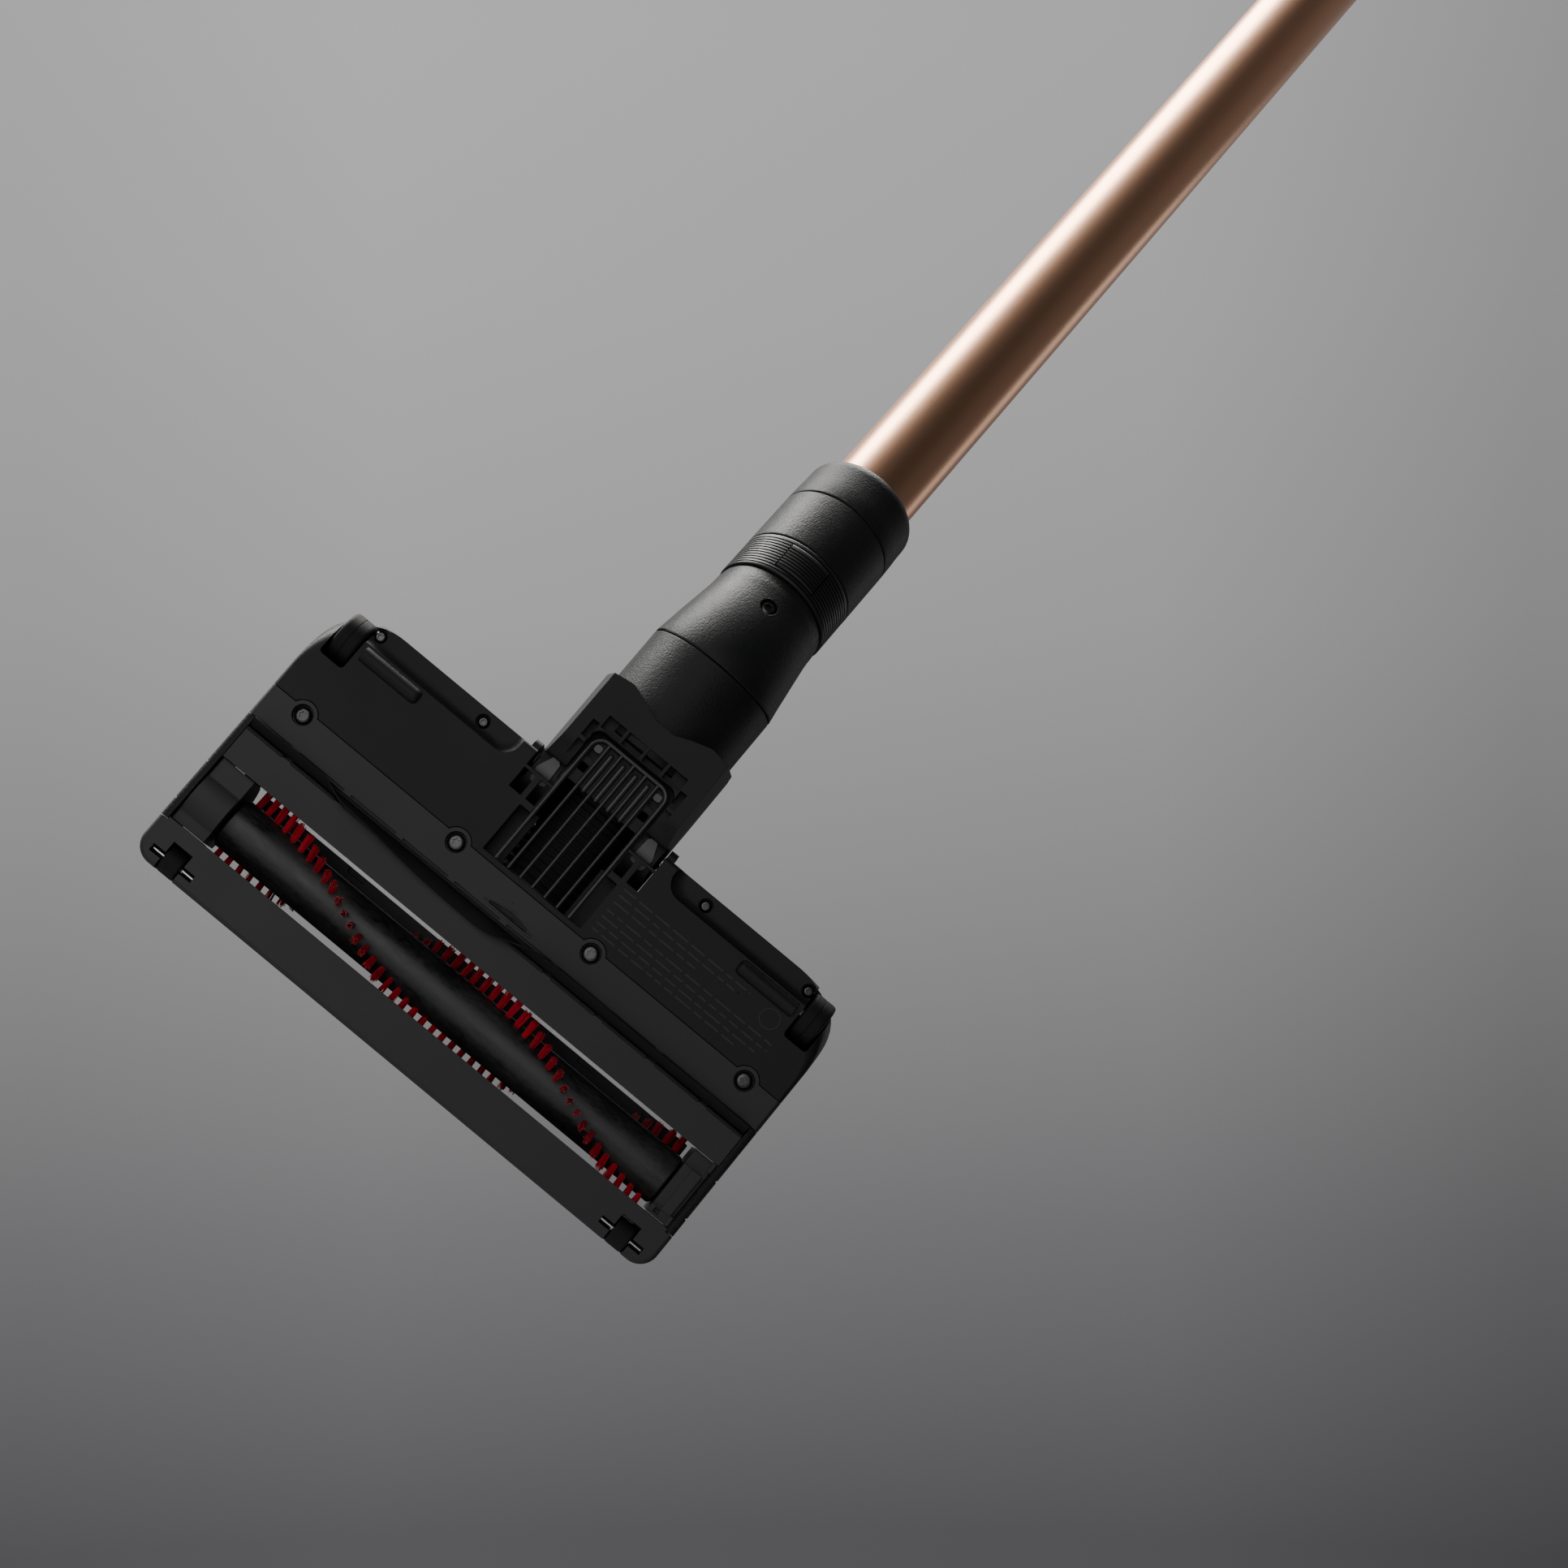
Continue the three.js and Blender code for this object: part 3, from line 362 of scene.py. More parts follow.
def filleted(corners, steps=6):
    """An outline from (x, y, fillet radius) corners."""
    points = []
    count = len(corners)
    for i, (x, y, radius) in enumerate(corners):
        here = Vector((x, y))
        if radius <= 0:
            points.append((x, y))
            continue
        before = (Vector(corners[i - 1][:2]) - here).normalized()
        after = (Vector(corners[(i + 1) % count][:2]) - here).normalized()
        half = before.angle(after) / 2
        reach = radius / max(1e-6, sin(half) / cos(half))
        centre = here + (before + after).normalized() * (radius / sin(half))
        start, end = here + before * reach - centre, here + after * reach - centre
        for k in range(steps + 1):
            mixed = start.lerp(end, k / steps).normalized() * radius
            points.append(tuple(centre + mixed))
    return points


def rectangle(x0, x1, y0, y1, radius=0.0, steps=5):
    return filleted([(x0, y0, radius), (x1, y0, radius), (x1, y1, radius), (x0, y1, radius)], steps)


def head_plan(inset=0.0, back_radius=BACK_RADIUS):
    x, y0, y1 = HALF_WIDTH - inset, inset, LENGTH - inset
    front, back = max(FRONT_RADIUS - inset, 0.5), max(back_radius - inset, 0.5)
    return filleted([(-x, y0, front), (x, y0, front), (x, y1, back), (-x, y1, back)], 12)


# ------------------------------------------------------------------ meshes
def new_object(name, vertices, faces):
    mesh = bpy.data.meshes.new(name)
    mesh.from_pydata([tuple(v) for v in vertices], [], faces)
    mesh.validate()
    made = bpy.data.objects.new(name, mesh)
    bpy.context.collection.objects.link(made)
    tidy = bmesh.new()
    tidy.from_mesh(mesh)
    bmesh.ops.recalc_face_normals(tidy, faces=tidy.faces)
    tidy.to_mesh(mesh)
    tidy.free()
    return made


def stack(levels, closed=False):
    """Skins a list of equal-length rings of 3-D points; closed joins the last ring to the first."""
    count = len(levels[0])
    vertices = [point for ring in levels for point in ring]
    faces = []
    last = len(levels) if closed else len(levels) - 1
    for i in range(last):
        low, high = i * count, ((i + 1) % len(levels)) * count
        for k in range(count):
            n = (k + 1) % count
            faces.append((low + k, low + n, high + n, high + k))
    if not closed:
        faces.append(tuple(range(count)))
        faces.append(tuple(len(vertices) - count + k for k in range(count)))
    return new_object("shape", vertices, faces)


def prism(outline, z0, z1):
    return stack([[(x, y, z) for x, y in outline] for z in (z0, z1)])


def block(x0, x1, y0, y1, z0, z1, radius=0.0):
    return prism(rectangle(x0, x1, y0, y1, radius), z0, z1)


def cross_prism(outline, x0, x1):
    """A side outline in Y and Z, carried across X."""
    return stack([[(x, y, z) for y, z in outline] for x in (x0, x1)])


def ring_of(radius, height, segments):
    turn = [2 * pi * k / segments for k in range(segments)]
    return [(radius * cos(a), radius * sin(a), height) for a in turn]


def turned(profile, bore=None, segments=64):
    """A (radius, height) profile turned about Z; bore is a radius or a profile walked back down."""
    outer = [ring_of(max(r, 0.01), h, segments) for r, h in profile]
    if bore is None:
        return stack(outer)
    inner = bore if isinstance(bore, list) else [(bore, profile[-1][1]), (bore, profile[0][1])]
    return stack(outer + [ring_of(r, h, segments) for r, h in inner], closed=True)


def moved(made, matrix):
    made.data.transform(matrix)
    if matrix.determinant() < 0:
        made.data.flip_normals()
    return made


def placed(made, x, y, z=0):
    return moved(made, Matrix.Translation((x, y, z)))


def across(made, y=BRUSH_Y, z=BRUSH_Z):
    """Lays a shape turned about Z along X, through (y, z)."""
    return moved(made, Matrix.Translation((0, y, z)) @ Matrix.Rotation(pi / 2, 4, "Y"))


def endwise(made, x, z):
    """Lays a shape turned about Z along Y, through (x, z)."""
    return moved(made, Matrix.Translation((x, 0, z)) @ Matrix.Rotation(-pi / 2, 4, "X"))


def rod(radius, x0, x1, y=BRUSH_Y, z=BRUSH_Z, segments=32):
    return across(turned([(radius, x0), (radius, x1)], segments=segments), y, z)


def widened(made):
    """The duct and its hose are wider than they are high."""
    return moved(made, Matrix.Scale(DUCT_WIDENING, 4, (1, 0, 0)))


def post(radius, z0, z1, x, y, segments=32):
    return placed(turned([(radius, z0), (radius, z1)], segments=segments), x, y)


def copied(made):
    twin = bpy.data.objects.new(made.name, made.data.copy())
    bpy.context.collection.objects.link(twin)
    return twin


def flipped(made):
    """The shape mirrored across X."""
    return moved(made, Matrix.Scale(-1, 4, (1, 0, 0)))


def pair(made):
    return [made, flipped(copied(made))]


def combine(made, operation, tools):
    for tool in tools:
        step = made.modifiers.new("step", "BOOLEAN")
        step.operation = operation
        step.solver = "MANIFOLD"
        step.object = tool
    graph = bpy.context.evaluated_depsgraph_get()
    result = bpy.data.meshes.new_from_object(made.evaluated_get(graph))
    made.modifiers.clear()
    made.data = result
    for tool in tools:
        bpy.data.objects.remove(tool)
    return made


def cut(made, *tools):
    return combine(made, "DIFFERENCE", tools)


def fuse(made, *others):
    return combine(made, "UNION", others)


def common(made, other):
    return combine(made, "INTERSECT", [other])


def joined(parts):
    """One object from several that don't touch, without a boolean."""
    merged = bmesh.new()
    for part in parts:
        merged.from_mesh(part.data)
        bpy.data.objects.remove(part)
    mesh = bpy.data.meshes.new("joined")
    merged.to_mesh(mesh)
    merged.free()
    made = bpy.data.objects.new("joined", mesh)
    bpy.context.collection.objects.link(made)
    return made


def swept(path, radius, segments=16, closed=False):
    """A round bar along a list of points; radius is a number or one value for each point."""
    points = [Vector(p) for p in path]
    count = len(points)
    rings = []
    side = Vector((1, 0, 0))
    for i, point in enumerate(points):
        if closed:
            ahead, behind = points[(i + 1) % count], points[i - 1]
        else:
            ahead, behind = points[min(i + 1, count - 1)], points[max(i - 1, 0)]
        along = (ahead - behind).normalized()
        side = (side - along * side.dot(along)).normalized()
        other = along.cross(side)
        r = radius[i] if isinstance(radius, list) else radius
        rings.append([point + side * x + other * y for x, y, _ in ring_of(r, 0, segments)])
    return stack(rings, closed)


# ------------------------------------------------------------------ finishing pieces
def piece(name, made, look, place=HEAD_FRAME, body="head", replaces=()):
    """Places the shape in the row frame, parents it to the empty of the body it rides on and hides the CAD
    nodes it stands for.
    """
    made.name = name
    made.data.name = name
    made.data.transform(place)
    made.data.shade_smooth()
    made.data.set_sharp_from_angle(angle=radians(48))
    made.modifiers.new("even_shading", "WEIGHTED_NORMAL").keep_sharp = True
    dress(made, look)
    if body:
        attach(made, body)
    if replaces:
        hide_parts(*replaces)


def stand_in(node, made, look, place=HEAD_FRAME, body="head"):
    """A piece that takes the place of one CAD node."""
    piece(f"{node}_fine", made, look, place, body, [node])


def dress(made, look):
    material, slot = LOOKS[look]
    made.data.materials.clear()
    made.data.materials.append(material)


def carry_over(looks):
    """Gives the CAD nodes that stay their materials and soft edges."""
    for node, look in looks.items():
        kept = frame["nodes"][node]
        kept.modifiers.new("weld", "WELD").merge_threshold = 0.01 * MM
        rounding = kept.modifiers.new("edges", "BEVEL")
        rounding.width = EDGE_ROUNDING.get(node, OTHER_ROUNDING) * MM
        rounding.segments = 4
        rounding.limit_method = "ANGLE"
        rounding.angle_limit = radians(40)
        kept.modifiers.new("even_shading", "WEIGHTED_NORMAL").keep_sharp = True
        kept.data.materials.clear()
        kept.data.materials.append(LOOKS[look][0])


# ------------------------------------------------------------------ floor head
def head_side(inset):
    """Side outline of the head: a round hood over the brush, then a deck falling to the back."""
    reach, rise = BRUSH_Y - inset, DECK_FRONT - BRUSH_Z - inset
    turn = [radians(180 - 90 * i / 24) for i in range(25)]
    hood = [(inset, -20)] + [(BRUSH_Y + reach * cos(a), BRUSH_Z + rise * sin(a)) for a in turn]
    deck = filleted([(BRUSH_Y, DECK_FRONT - inset, 0), (DECK_BACK_Y, DECK_BACK - inset, 14),
                     (LENGTH - inset, DECK_EDGE - inset, 5), (LENGTH - inset, -20, 0)], 8)
    return hood + deck[1:]


def head_form(inset=0.0, low=-20):
    """The closed head; seen from below, its edge is rolled in and its rear corners are cut back."""
    roll, cut_back, cut_height = 1.8, 18.5, 11.5
    rings = []
    for i in range(9):
        height = cut_height * (i / 8) ** 1.6
        recess = roll * (1 - sqrt(max(0, 1 - (1 - min(height / roll, 1)) ** 2)))
        corner = BACK_RADIUS + cut_back * (1 - i / 8) ** 1.5
        rings.append([(x, y, low + height) for x, y in head_plan(inset + recess, corner)])
    rings.append([(x, y, 60) for x, y in head_plan(inset)])
    return common(stack(rings), cross_prism(head_side(inset), -130, 130))


def base_slab():
    """The lower layer of the head, before its openings."""
    return common(head_form(low=0), block(-130, 130, -5, 130, -1, CHASSIS_TOP))


def end_bays():
    return block(CHAMBER_RIGHT - 10.3, CHAMBER_LEFT + 15.5, CHAMBER_FRONT, CHAMBER_BACK, -5, 20)


def screw_holes():
    return [post(1.9, -5, 20, x, SCREW_Y) for x in SCREW_X]


def side_blocks(near, far, y0, y1, z0, z1):
    return pair(block(near, far, y0, y1, z0, z1))


def sole_region(grow):
    plate = block(-130, 130, -10, SOLE_BACK + grow, -5, SOLE_TOP + grow)
    bumps = [post(BUMP_RADIUS + grow, -5, SOLE_TOP + grow, x, SCREW_Y, 48) for x in SCREW_X]
    return fuse(plate, *bumps)


def rear_wheel_spaces():
    near, far = REAR_WHEEL["x"] - REAR_POCKET_HALF, REAR_WHEEL["x"] + REAR_POCKET_HALF
    front = REAR_WHEEL["y"] - REAR_WHEEL["radius"] - 1.2
    corners = filleted([(near, front, 1.5), (far, front, 1.5), (far, 140, 0), (near, 140, 0)])
    return pair(prism(corners, -5, 20.4))


def wheel_spaces():
    front = side_blocks(FRONT_WHEEL["x"] - 4.4, FRONT_WHEEL["x"] + 4.4, -5, 12, -5, 11.1)
    pins = side_blocks(FRONT_WHEEL["x"] - 9.7, FRONT_WHEEL["x"] + 9.7, FRONT_WHEEL["y"] - 1.5,
                       FRONT_WHEEL["y"] + 1.5, -5, FRONT_WHEEL["z"] + 1.4)
    return front + pins + rear_wheel_spaces()


def panel_spaces(margin):
    return side_blocks(PANEL_INNER - margin, 130, PANEL_FRONT - margin, PANEL_BACK + margin, -5, 60)


def clip_spans():
    """Start and end of each clip along the lip; the slot's ends cut the outer two short."""
    margin = (CLIP_PITCH - CLIP_LENGTH) / 2
    starts = [i * CLIP_PITCH + margin for i in range(-5, 5)]
    return [(max(x, -LIP_HALF), min(x + CLIP_LENGTH, LIP_HALF)) for x in starts]


def clip_slots():
    """The row of narrow slots behind the lip."""
    y = LIP_BACK + 0.75
    return joined([block(x0, x1, y - 0.4, y + 0.4, -5, 1.2) for x0, x1 in clip_spans()])


def make_clips():
    """The half-round bars that hold the lip's front edge."""
    bars = []
    for x0, x1 in clip_spans():
        start = [(0.3, x0), (0.75, x0 + 0.25), (0.85, x0 + 0.6)]
        profile = start + [(0.85, x1 - 0.6), (0.75, x1 - 0.25), (0.3, x1)]
        bars.append(across(turned(profile, segments=24), LIP_FRONT + 0.1, 0.4))
    piece("lip_clips", joined(bars), "satin")


def make_sole_plate():
    sole = common(base_slab(), sole_region(0))
    recesses = [placed(turned([(4.35, -1), (4.0, 0.5), (4.0, 3.5)]), x, SCREW_Y) for x in SCREW_X]
    sole = cut(sole, end_bays(), rod(CHAMBER_RADIUS, CHAMBER_RIGHT, CHAMBER_LEFT, segments=96),
               *wheel_spaces(), *panel_spaces(GAP),
               block(-LIP_HALF, LIP_HALF, LIP_FRONT, LIP_BACK, -5, 4),
               clip_slots(), *recesses, *screw_holes())
    stand_in("sole_plate", sole, "black")


def arrow_outline(half, front, apex):
    return filleted([(-half, front, 0.8), (half, front, 0.8), (half - 0.4, front + 1.2, 0.5), (0, apex, 2.5),
                     (-half + 0.4, front + 1.2, 0.5)], 4)


def make_sole_marks():
    """The plain arrow and dot in front of the throat, standing a little proud."""
    outer = prism(arrow_outline(11.8, 67.6, 71.8), -0.35, 0.3)
    inner = prism(arrow_outline(9.2, 68.3, 71.0), -1, 0.0)
    arrow = cut(outer, inner)
    piece("sole_arrow", arrow, "black")
    piece("sole_dot", post(0.55, -0.2, 0.2, 2, 73.6, 16), "black")


def ledge_cove():
    """The hollow along the rear edge, curving up from its sharp front line."""
    levels = []
    for i in range(9):
        a = pi / 2 * i / 8
        near, front = 37.5 + 4.2 * (1 - cos(a)), 113.8 + 4.2 * (1 - cos(a))
        outline = filleted([(near, 136, 0), (near, front, 7), (120, front, 0.5), (120, 136, 0)], 10)
        levels.append([(x, y, 3.4 * sin(a)) for x, y in outline])
    levels.insert(0, [(x, y, -5) for x, y, _ in levels[0]])
    return stack(levels)


def throat_spaces():
    return [
        block(-THROAT_HALF, THROAT_HALF, THROAT_FRONT, THROAT_BACK, -5, 9, 0.6),
        block(-15.2, 15.2, THROAT_FRONT, THROAT_BACK + 2, 8, 20),
        block(-NARROW_HALF, NARROW_HALF, THROAT_BACK - 1, NARROW_BACK + 20, -5, 8.5),
        block(-31.3, 31.3, THROAT_BACK + 1.3, 140, 2, 20),
        block(-31.3, 31.3, NARROW_BACK, 140, -5, 20),
        *side_blocks(25.6, 31.2, 106.6, 115.8, -5, 20),
        *side_blocks(18.9, 23.3, 106.6, 115.8, -5, 20),
    ]


def make_head_base():
    base = cut(base_slab(), sole_region(GAP))
    bulkhead = cut(block(-100, 100, HOOD_SEAM + GAP, 55.3, CHASSIS_TOP - 1, 35),
                   widened(endwise(turned([(9.6, 40), (9.6, 60)]), 0, DUCT_Z)))
    side = filleted([(106, 3, 3), (127.3, 3, 3), (127.3, 27, 8), (112, 31, 6), (106, 20, 4)], 6)
    base = fuse(base, bulkhead, *pair(cross_prism(side, 31.3, 34.6)))
    rear_holes = [post(2.9, -5, 6.2, x, REAR_SCREW_Y, 48) for x in REAR_SCREW_X]
    belt_way = block(104.4, 110.6, CHAMBER_BACK - 1, 62, 7, 20)
    axle_bores = pair(rod(2.3, 76, REAR_WHEEL["x"] - 4.9, REAR_WHEEL["y"], REAR_WHEEL["z"]))
    base = cut(base, end_bays(), rod(CHAMBER_RADIUS + 0.2, CHAMBER_RIGHT, CHAMBER_LEFT, segments=96),
               *wheel_spaces(), *panel_spaces(GAP), *throat_spaces(), *pair(ledge_cove()),
               rod(3.05, -40, 40, HINGE_Y, HINGE_Z), *screw_holes(), *rear_holes, belt_way, *axle_bores)
    stand_in("head_base", base, "matte")


def make_axle_bosses():
    for side, name in SIDES:
        boss = across(turned([(0.3, 77.4), (2.4, 77.7), (3.2, 78.8), (3.3, 80), (3.3, 104.4)]), 109.8, 0.9)
        boss = cut(boss, block(60, 120, 100, 120, 0.15, 12))
        if side < 0:
            flipped(boss)
        piece(f"axle_boss_{name}", boss, "matte")


def make_moulded_marks():
    """Plain raised bars where the real base carries moulded text, and a plain ring beside them."""
    bars = []
    rng = random.Random(5)
    for y, end in ((104.2, 88), (101.3, 84), (98.2, 66), (94.4, 106), (91.4, 106), (88.4, 103), (85.6, 95)):
        x = 26.5
        while x < end:
            length = rng.uniform(3, 8)
            bars.append(block(-min(x + length, end), -x, y - 0.4, y + 0.4, -0.13, 0.2, 0.3))
            x += length + 1.3
    bars.append(placed(turned([(4.2, -0.13), (4.2, 0.2)], 3.7, 48), -99.3, 101.6))
    piece("base_marks", joined(bars), "black")


def make_shells():
    shell = cut(head_form(), head_form(2.2))
    shell = common(shell, block(-130, 130, -5, 140, CHASSIS_TOP + GAP, 70))
    shell = cut(shell, *panel_spaces(GAP))
    hood = common(copied(shell), block(-130, 130, BUMPER_BACK + GAP, HOOD_SEAM, 0, 70))
    stand_in("roller_window", hood, "window")
    piece("front_bumper", common(copied(shell), block(-130, 130, -5, BUMPER_BACK, 0, 70)), "satin")
    rear = common(shell, block(-130, 130, HOOD_SEAM + GAP, 140, 0, 70))
    front, half = HINGE_Y - HINGE_LUG - 1.4, 34.6
    notch = filleted([(-half, 140, 0), (-half, front, 5), (half, front, 5), (half, 140, 0)], 8)
    stand_in("top_shell", cut(rear, prism(notch, CHASSIS_TOP, 70), *rear_wheel_spaces()), "satin")


def make_side_panels():
    for side, name in SIDES:
        x0, x1 = sorted((side * PANEL_INNER, side * 130))
        panel = common(head_form(low=0), block(x0, x1, PANEL_FRONT, PANEL_BACK, -1, 70))
        grooves = [block(*sorted((side * 121.9, side * 130)), y, y + 0.7, -5, 30) for y in (42.2, 24.6)]
        stand_in(f"side_panel_{name}", cut(panel, *grooves), "satin")


def make_chamber_ends():
    y0, y1 = CHAMBER_FRONT + GAP, CHAMBER_BACK - GAP
    drum = common(rod(17.2, CHAMBER_LEFT + GAP, 118.6, segments=96),
                  block(90, 130, y0, y1, -5, 34))
    drum = fuse(drum, block(CHAMBER_LEFT + GAP, 118.6, y0, y1, 2.6, 14))
    drum = cut(drum, rod(15.4, CHAMBER_LEFT + 1.6, 117, segments=64), rod(5, 100, 120))
    stand_in("end_cap_left", drum, "black")
    cap = block(-118.4, CHAMBER_RIGHT - GAP, y0, y1, 0.4, 34)
    cap = cut(cap, rod(4.6, -114, -100), block(-120, -116.8, y0 + 4, y1 - 4, -5, 3),
              block(-116.9, -108, 40.5, 50, -5, 3.2), block(-112.6, -108, 22.5, 40.8, -5, 1.4),
              block(-116.9, -108, 10, 22.2, -5, 1.6), block(-113, -110.6, 19.5, 21.6, -5, 4))
    stand_in("end_cap_right", cap, "black")
    rib = block(CHAMBER_RIGHT + 1, CHAMBER_LEFT - 1, 41.2, 46.6, 36, 39, 0.8)
    notches = [block(x, x + 8, 44.4, 48, 34, 37.6) for x in (-94, -62, 6, 52)]
    stand_in("chamber_rib", cut(rib, *notches), "black")


def lip_lean(x):
    """How far the lip's free edge leans back (+) or forward (-) at each place along the slot."""
    def step(at, width):
        t = min(max((x - at) / width + 0.5, 0), 1)
        return t * t * (3 - 2 * t)
    return 2.6 - 7.6 * step(-7, 30) + 3.4 * step(45, 70) + 4.2 * step(80, 14) + 0.2 * sin(x / 9)


def make_lip():
    middle = (LIP_FRONT + LIP_BACK) / 2
    levels = []
    count = 96
    reach, length = LIP_HALF - 0.6, 5.6
    thickness = [1.8, 1.8, 1.7, 1.4, 1.0, 0.6]
    for i in range(count + 1):
        x = -reach + 2 * reach * i / count
        lean = lip_lean(x)
        drop = sqrt(length ** 2 - lean ** 2)
        spine = [Vector((0, 3.4)), Vector((0, 0.6))]
        spine += [Vector((lean * a, -drop * b)) for a, b in ((0.12, 0.16), (0.38, 0.48), (0.7, 0.8), (1, 1))]
        front, back = [], []
        for k, (spot, width) in enumerate(zip(spine, thickness)):
            along = (spine[min(k + 1, 5)] - spine[max(k - 1, 0)]).normalized()
            side = Vector((-along.y, along.x)) * width / 2
            front.append((x, middle + spot.x - side.x, spot.y - side.y))
            back.append((x, middle + spot.x + side.x, spot.y + side.y))
        levels.append(front + back[::-1])
    stand_in("lip_seal", stack(levels), "rubber")


# ------------------------------------------------------------------ brush
def make_brush():
    profile = [(3.8, -113), (3.8, -108.9), (9.6, -108.5), (CORE_RADIUS, -107.4), (CORE_RADIUS, 102.2),
               (9.6, 103.1), (3.8, 103.2), (3.8, 114)]
    core = across(turned(profile, segments=96))
    stand_in("brush_core", core, "roller", body="brush")
    pulley = across(turned([(8, 105), (8, 110)], 4.1))
    stand_in("roller_pulley", pulley, "gloss", body="brush")


def bristle(root, out, lean, radius, length):
    """One bristle: a thin four-sided spike from its root."""
    tip = root + (out + lean).normalized() * length
    side = out.cross(Vector((1, 0, 0))).normalized()
    other = out.cross(side)
    corners = [side, other, -side, -other]
    vertices = [root + c * radius for c in corners] + [tip + c * radius * 0.75 for c in corners]
    faces = [(k, (k + 1) % 4, 4 + (k + 1) % 4, 4 + k) for k in range(4)] + [(0, 1, 2, 3), (7, 6, 5, 4)]
    return vertices, faces


def make_bristles():
    rng = random.Random(11)
    per_tuft = 38
    for row in range(2):
        crossing = FIRST_CROSSING - row * BRISTLE_PITCH / 2
        vertices, faces = [], []
        x = -103.8
        while x < 99.5:
            angle = 2 * pi * (x - crossing) / BRISTLE_PITCH
            out = Vector((0, sin(angle), -cos(angle)))
            side = Vector((0, cos(angle), sin(angle)))
            bend = Vector((rng.uniform(-0.05, 0.05), 0, 0)) + side * rng.uniform(-0.06, 0.06)
            for _ in range(per_tuft):
                spread = 1.12 * sqrt(rng.random())
                turn = rng.uniform(0, 2 * pi)
                offset = Vector((spread * cos(turn), 0, 0)) + side * spread * sin(turn)
                root = Vector((x, BRUSH_Y, BRUSH_Z)) + out * (CORE_RADIUS - 0.5) + offset
                lean = bend + offset * rng.uniform(0.02, 0.07)
                length = TIP_RADIUS - CORE_RADIUS + 0.5 + rng.uniform(-0.7, 0.1)
                spike, sides = bristle(root, out, lean, 0.17, length)
                faces += [tuple(len(vertices) + k for k in face) for face in sides]
                vertices += spike
            x += TUFT_STEP
        tufts = new_object("tufts", vertices, faces)
        name = f"bristle_tufts_{row + 1}"
        piece(name, tufts, "bristle", body="brush", replaces=[f"bristle_row_{row + 1}"])


# ------------------------------------------------------------------ wheels, screws
def wheel_shape(size, bore, groove):
    radius, half = size["radius"], size["width"] / 2
    crown = [(radius * 0.62, -half * 0.86), (radius * 0.84, -half), (radius * 0.93, -half * 0.95),
             (radius * 0.98, -half * 0.84), (radius, -half * 0.66)]
    if groove:
        crown += [(radius, -0.25), (radius - 0.2, -0.1), (radius - 0.2, 0.1), (radius, 0.25)]
    crown += [(r, -h) for r, h in reversed(crown[:5])]
    return turned(crown, bore, 64)


def make_wheels():
    kinds = ((FRONT_WHEEL, "front", 1.15, False), (REAR_WHEEL, "rear", 2.05, True))
    for side, name in SIDES:
        for size, where, bore, groove in kinds:
            wheel = across(wheel_shape(size, bore, groove), size["y"], size["z"])
            placed(wheel, side * size["x"], 0)
            stand_in(f"{where}_wheel_{name}", wheel, "rubber", body=f"{where}_wheel_{name}")
        x = side * FRONT_WHEEL["x"]
        pin = rod(1.1, x - 9.4, x + 9.4, FRONT_WHEEL["y"], FRONT_WHEEL["z"])
        stand_in(f"front_pin_{name}", pin, "steel")


def star_outline(radius, lobes=6, steps=48):
    points = []
    for a in (2 * pi * k / steps for k in range(steps)):
        reach = radius * (0.84 + 0.16 * cos(lobes * a))
        points.append((reach * cos(a), reach * sin(a)))
    return points


def screw_shape(head_radius, low, high, tip):
    """A pan-head screw looking down -Z, with a six-lobed recess."""
    profile = [(head_radius * 0.55, low), (head_radius * 0.86, low + 0.3), (head_radius, low + 0.9),
               (head_radius, high), (1.6, high), (1.6, tip)]
    recess = prism(star_outline(head_radius * 0.5), low - 1, low + 1.5)
    return cut(turned(profile, segments=40), recess)


def make_screws():
    sockets = []
    for i, x in enumerate(SCREW_X):
        screw = placed(screw_shape(3.3, 0.9, 3.2, CHASSIS_TOP - 0.5), x, SCREW_Y)
        stand_in(f"sole_screw_{i + 1}", screw, "steel_dark")
        sockets.append(placed(prism(star_outline(1.6), 1.9, 2.6), x, SCREW_Y))
    for i, x in enumerate(REAR_SCREW_X):
        screw = placed(screw_shape(2.3, 4.6, 6.0, 6.4), x, REAR_SCREW_Y)
        piece(f"rear_screw_{i + 1}", screw, "steel_dark")
        sockets.append(placed(prism(star_outline(1.1), 5.7, 6.2), x, REAR_SCREW_Y))
    piece("screw_sockets", joined(sockets), "steel_dark")


# ------------------------------------------------------------------ throat
def make_grille():
    """Five ribs inside a rounded frame, from the throat's front edge back over the neck."""
    front, back = THROAT_FRONT + GAP, GRILLE_BACK - 1
    middle, bend, edge, corner = 0.1, 112, 3 * RIB_PITCH, 5
    turn = arc(-edge + corner, back - corner, corner, 180, 90)
    turn += arc(edge - corner, back - corner, corner, 90, 0)
    path = [(-edge, front, middle), (-edge, bend, middle - 0.3)]
    path += [(x, y, middle - 0.5) for x, y in turn]
    path += [(edge, bend, middle - 0.3), (edge, front, middle)]
    parts = [swept(path, 0.95)]
    for i in (-2, -1, 0, 1, 2):
        x = i * RIB_PITCH
        parts.append(swept([(x, front, middle), (x, bend, middle - 0.3), (x, back, middle - 0.4)], 0.72, 12))
    # The ribs use the rib look, whose lighter colour is a painted highlight.
    stand_in("throat_grille", joined(parts), "rib")


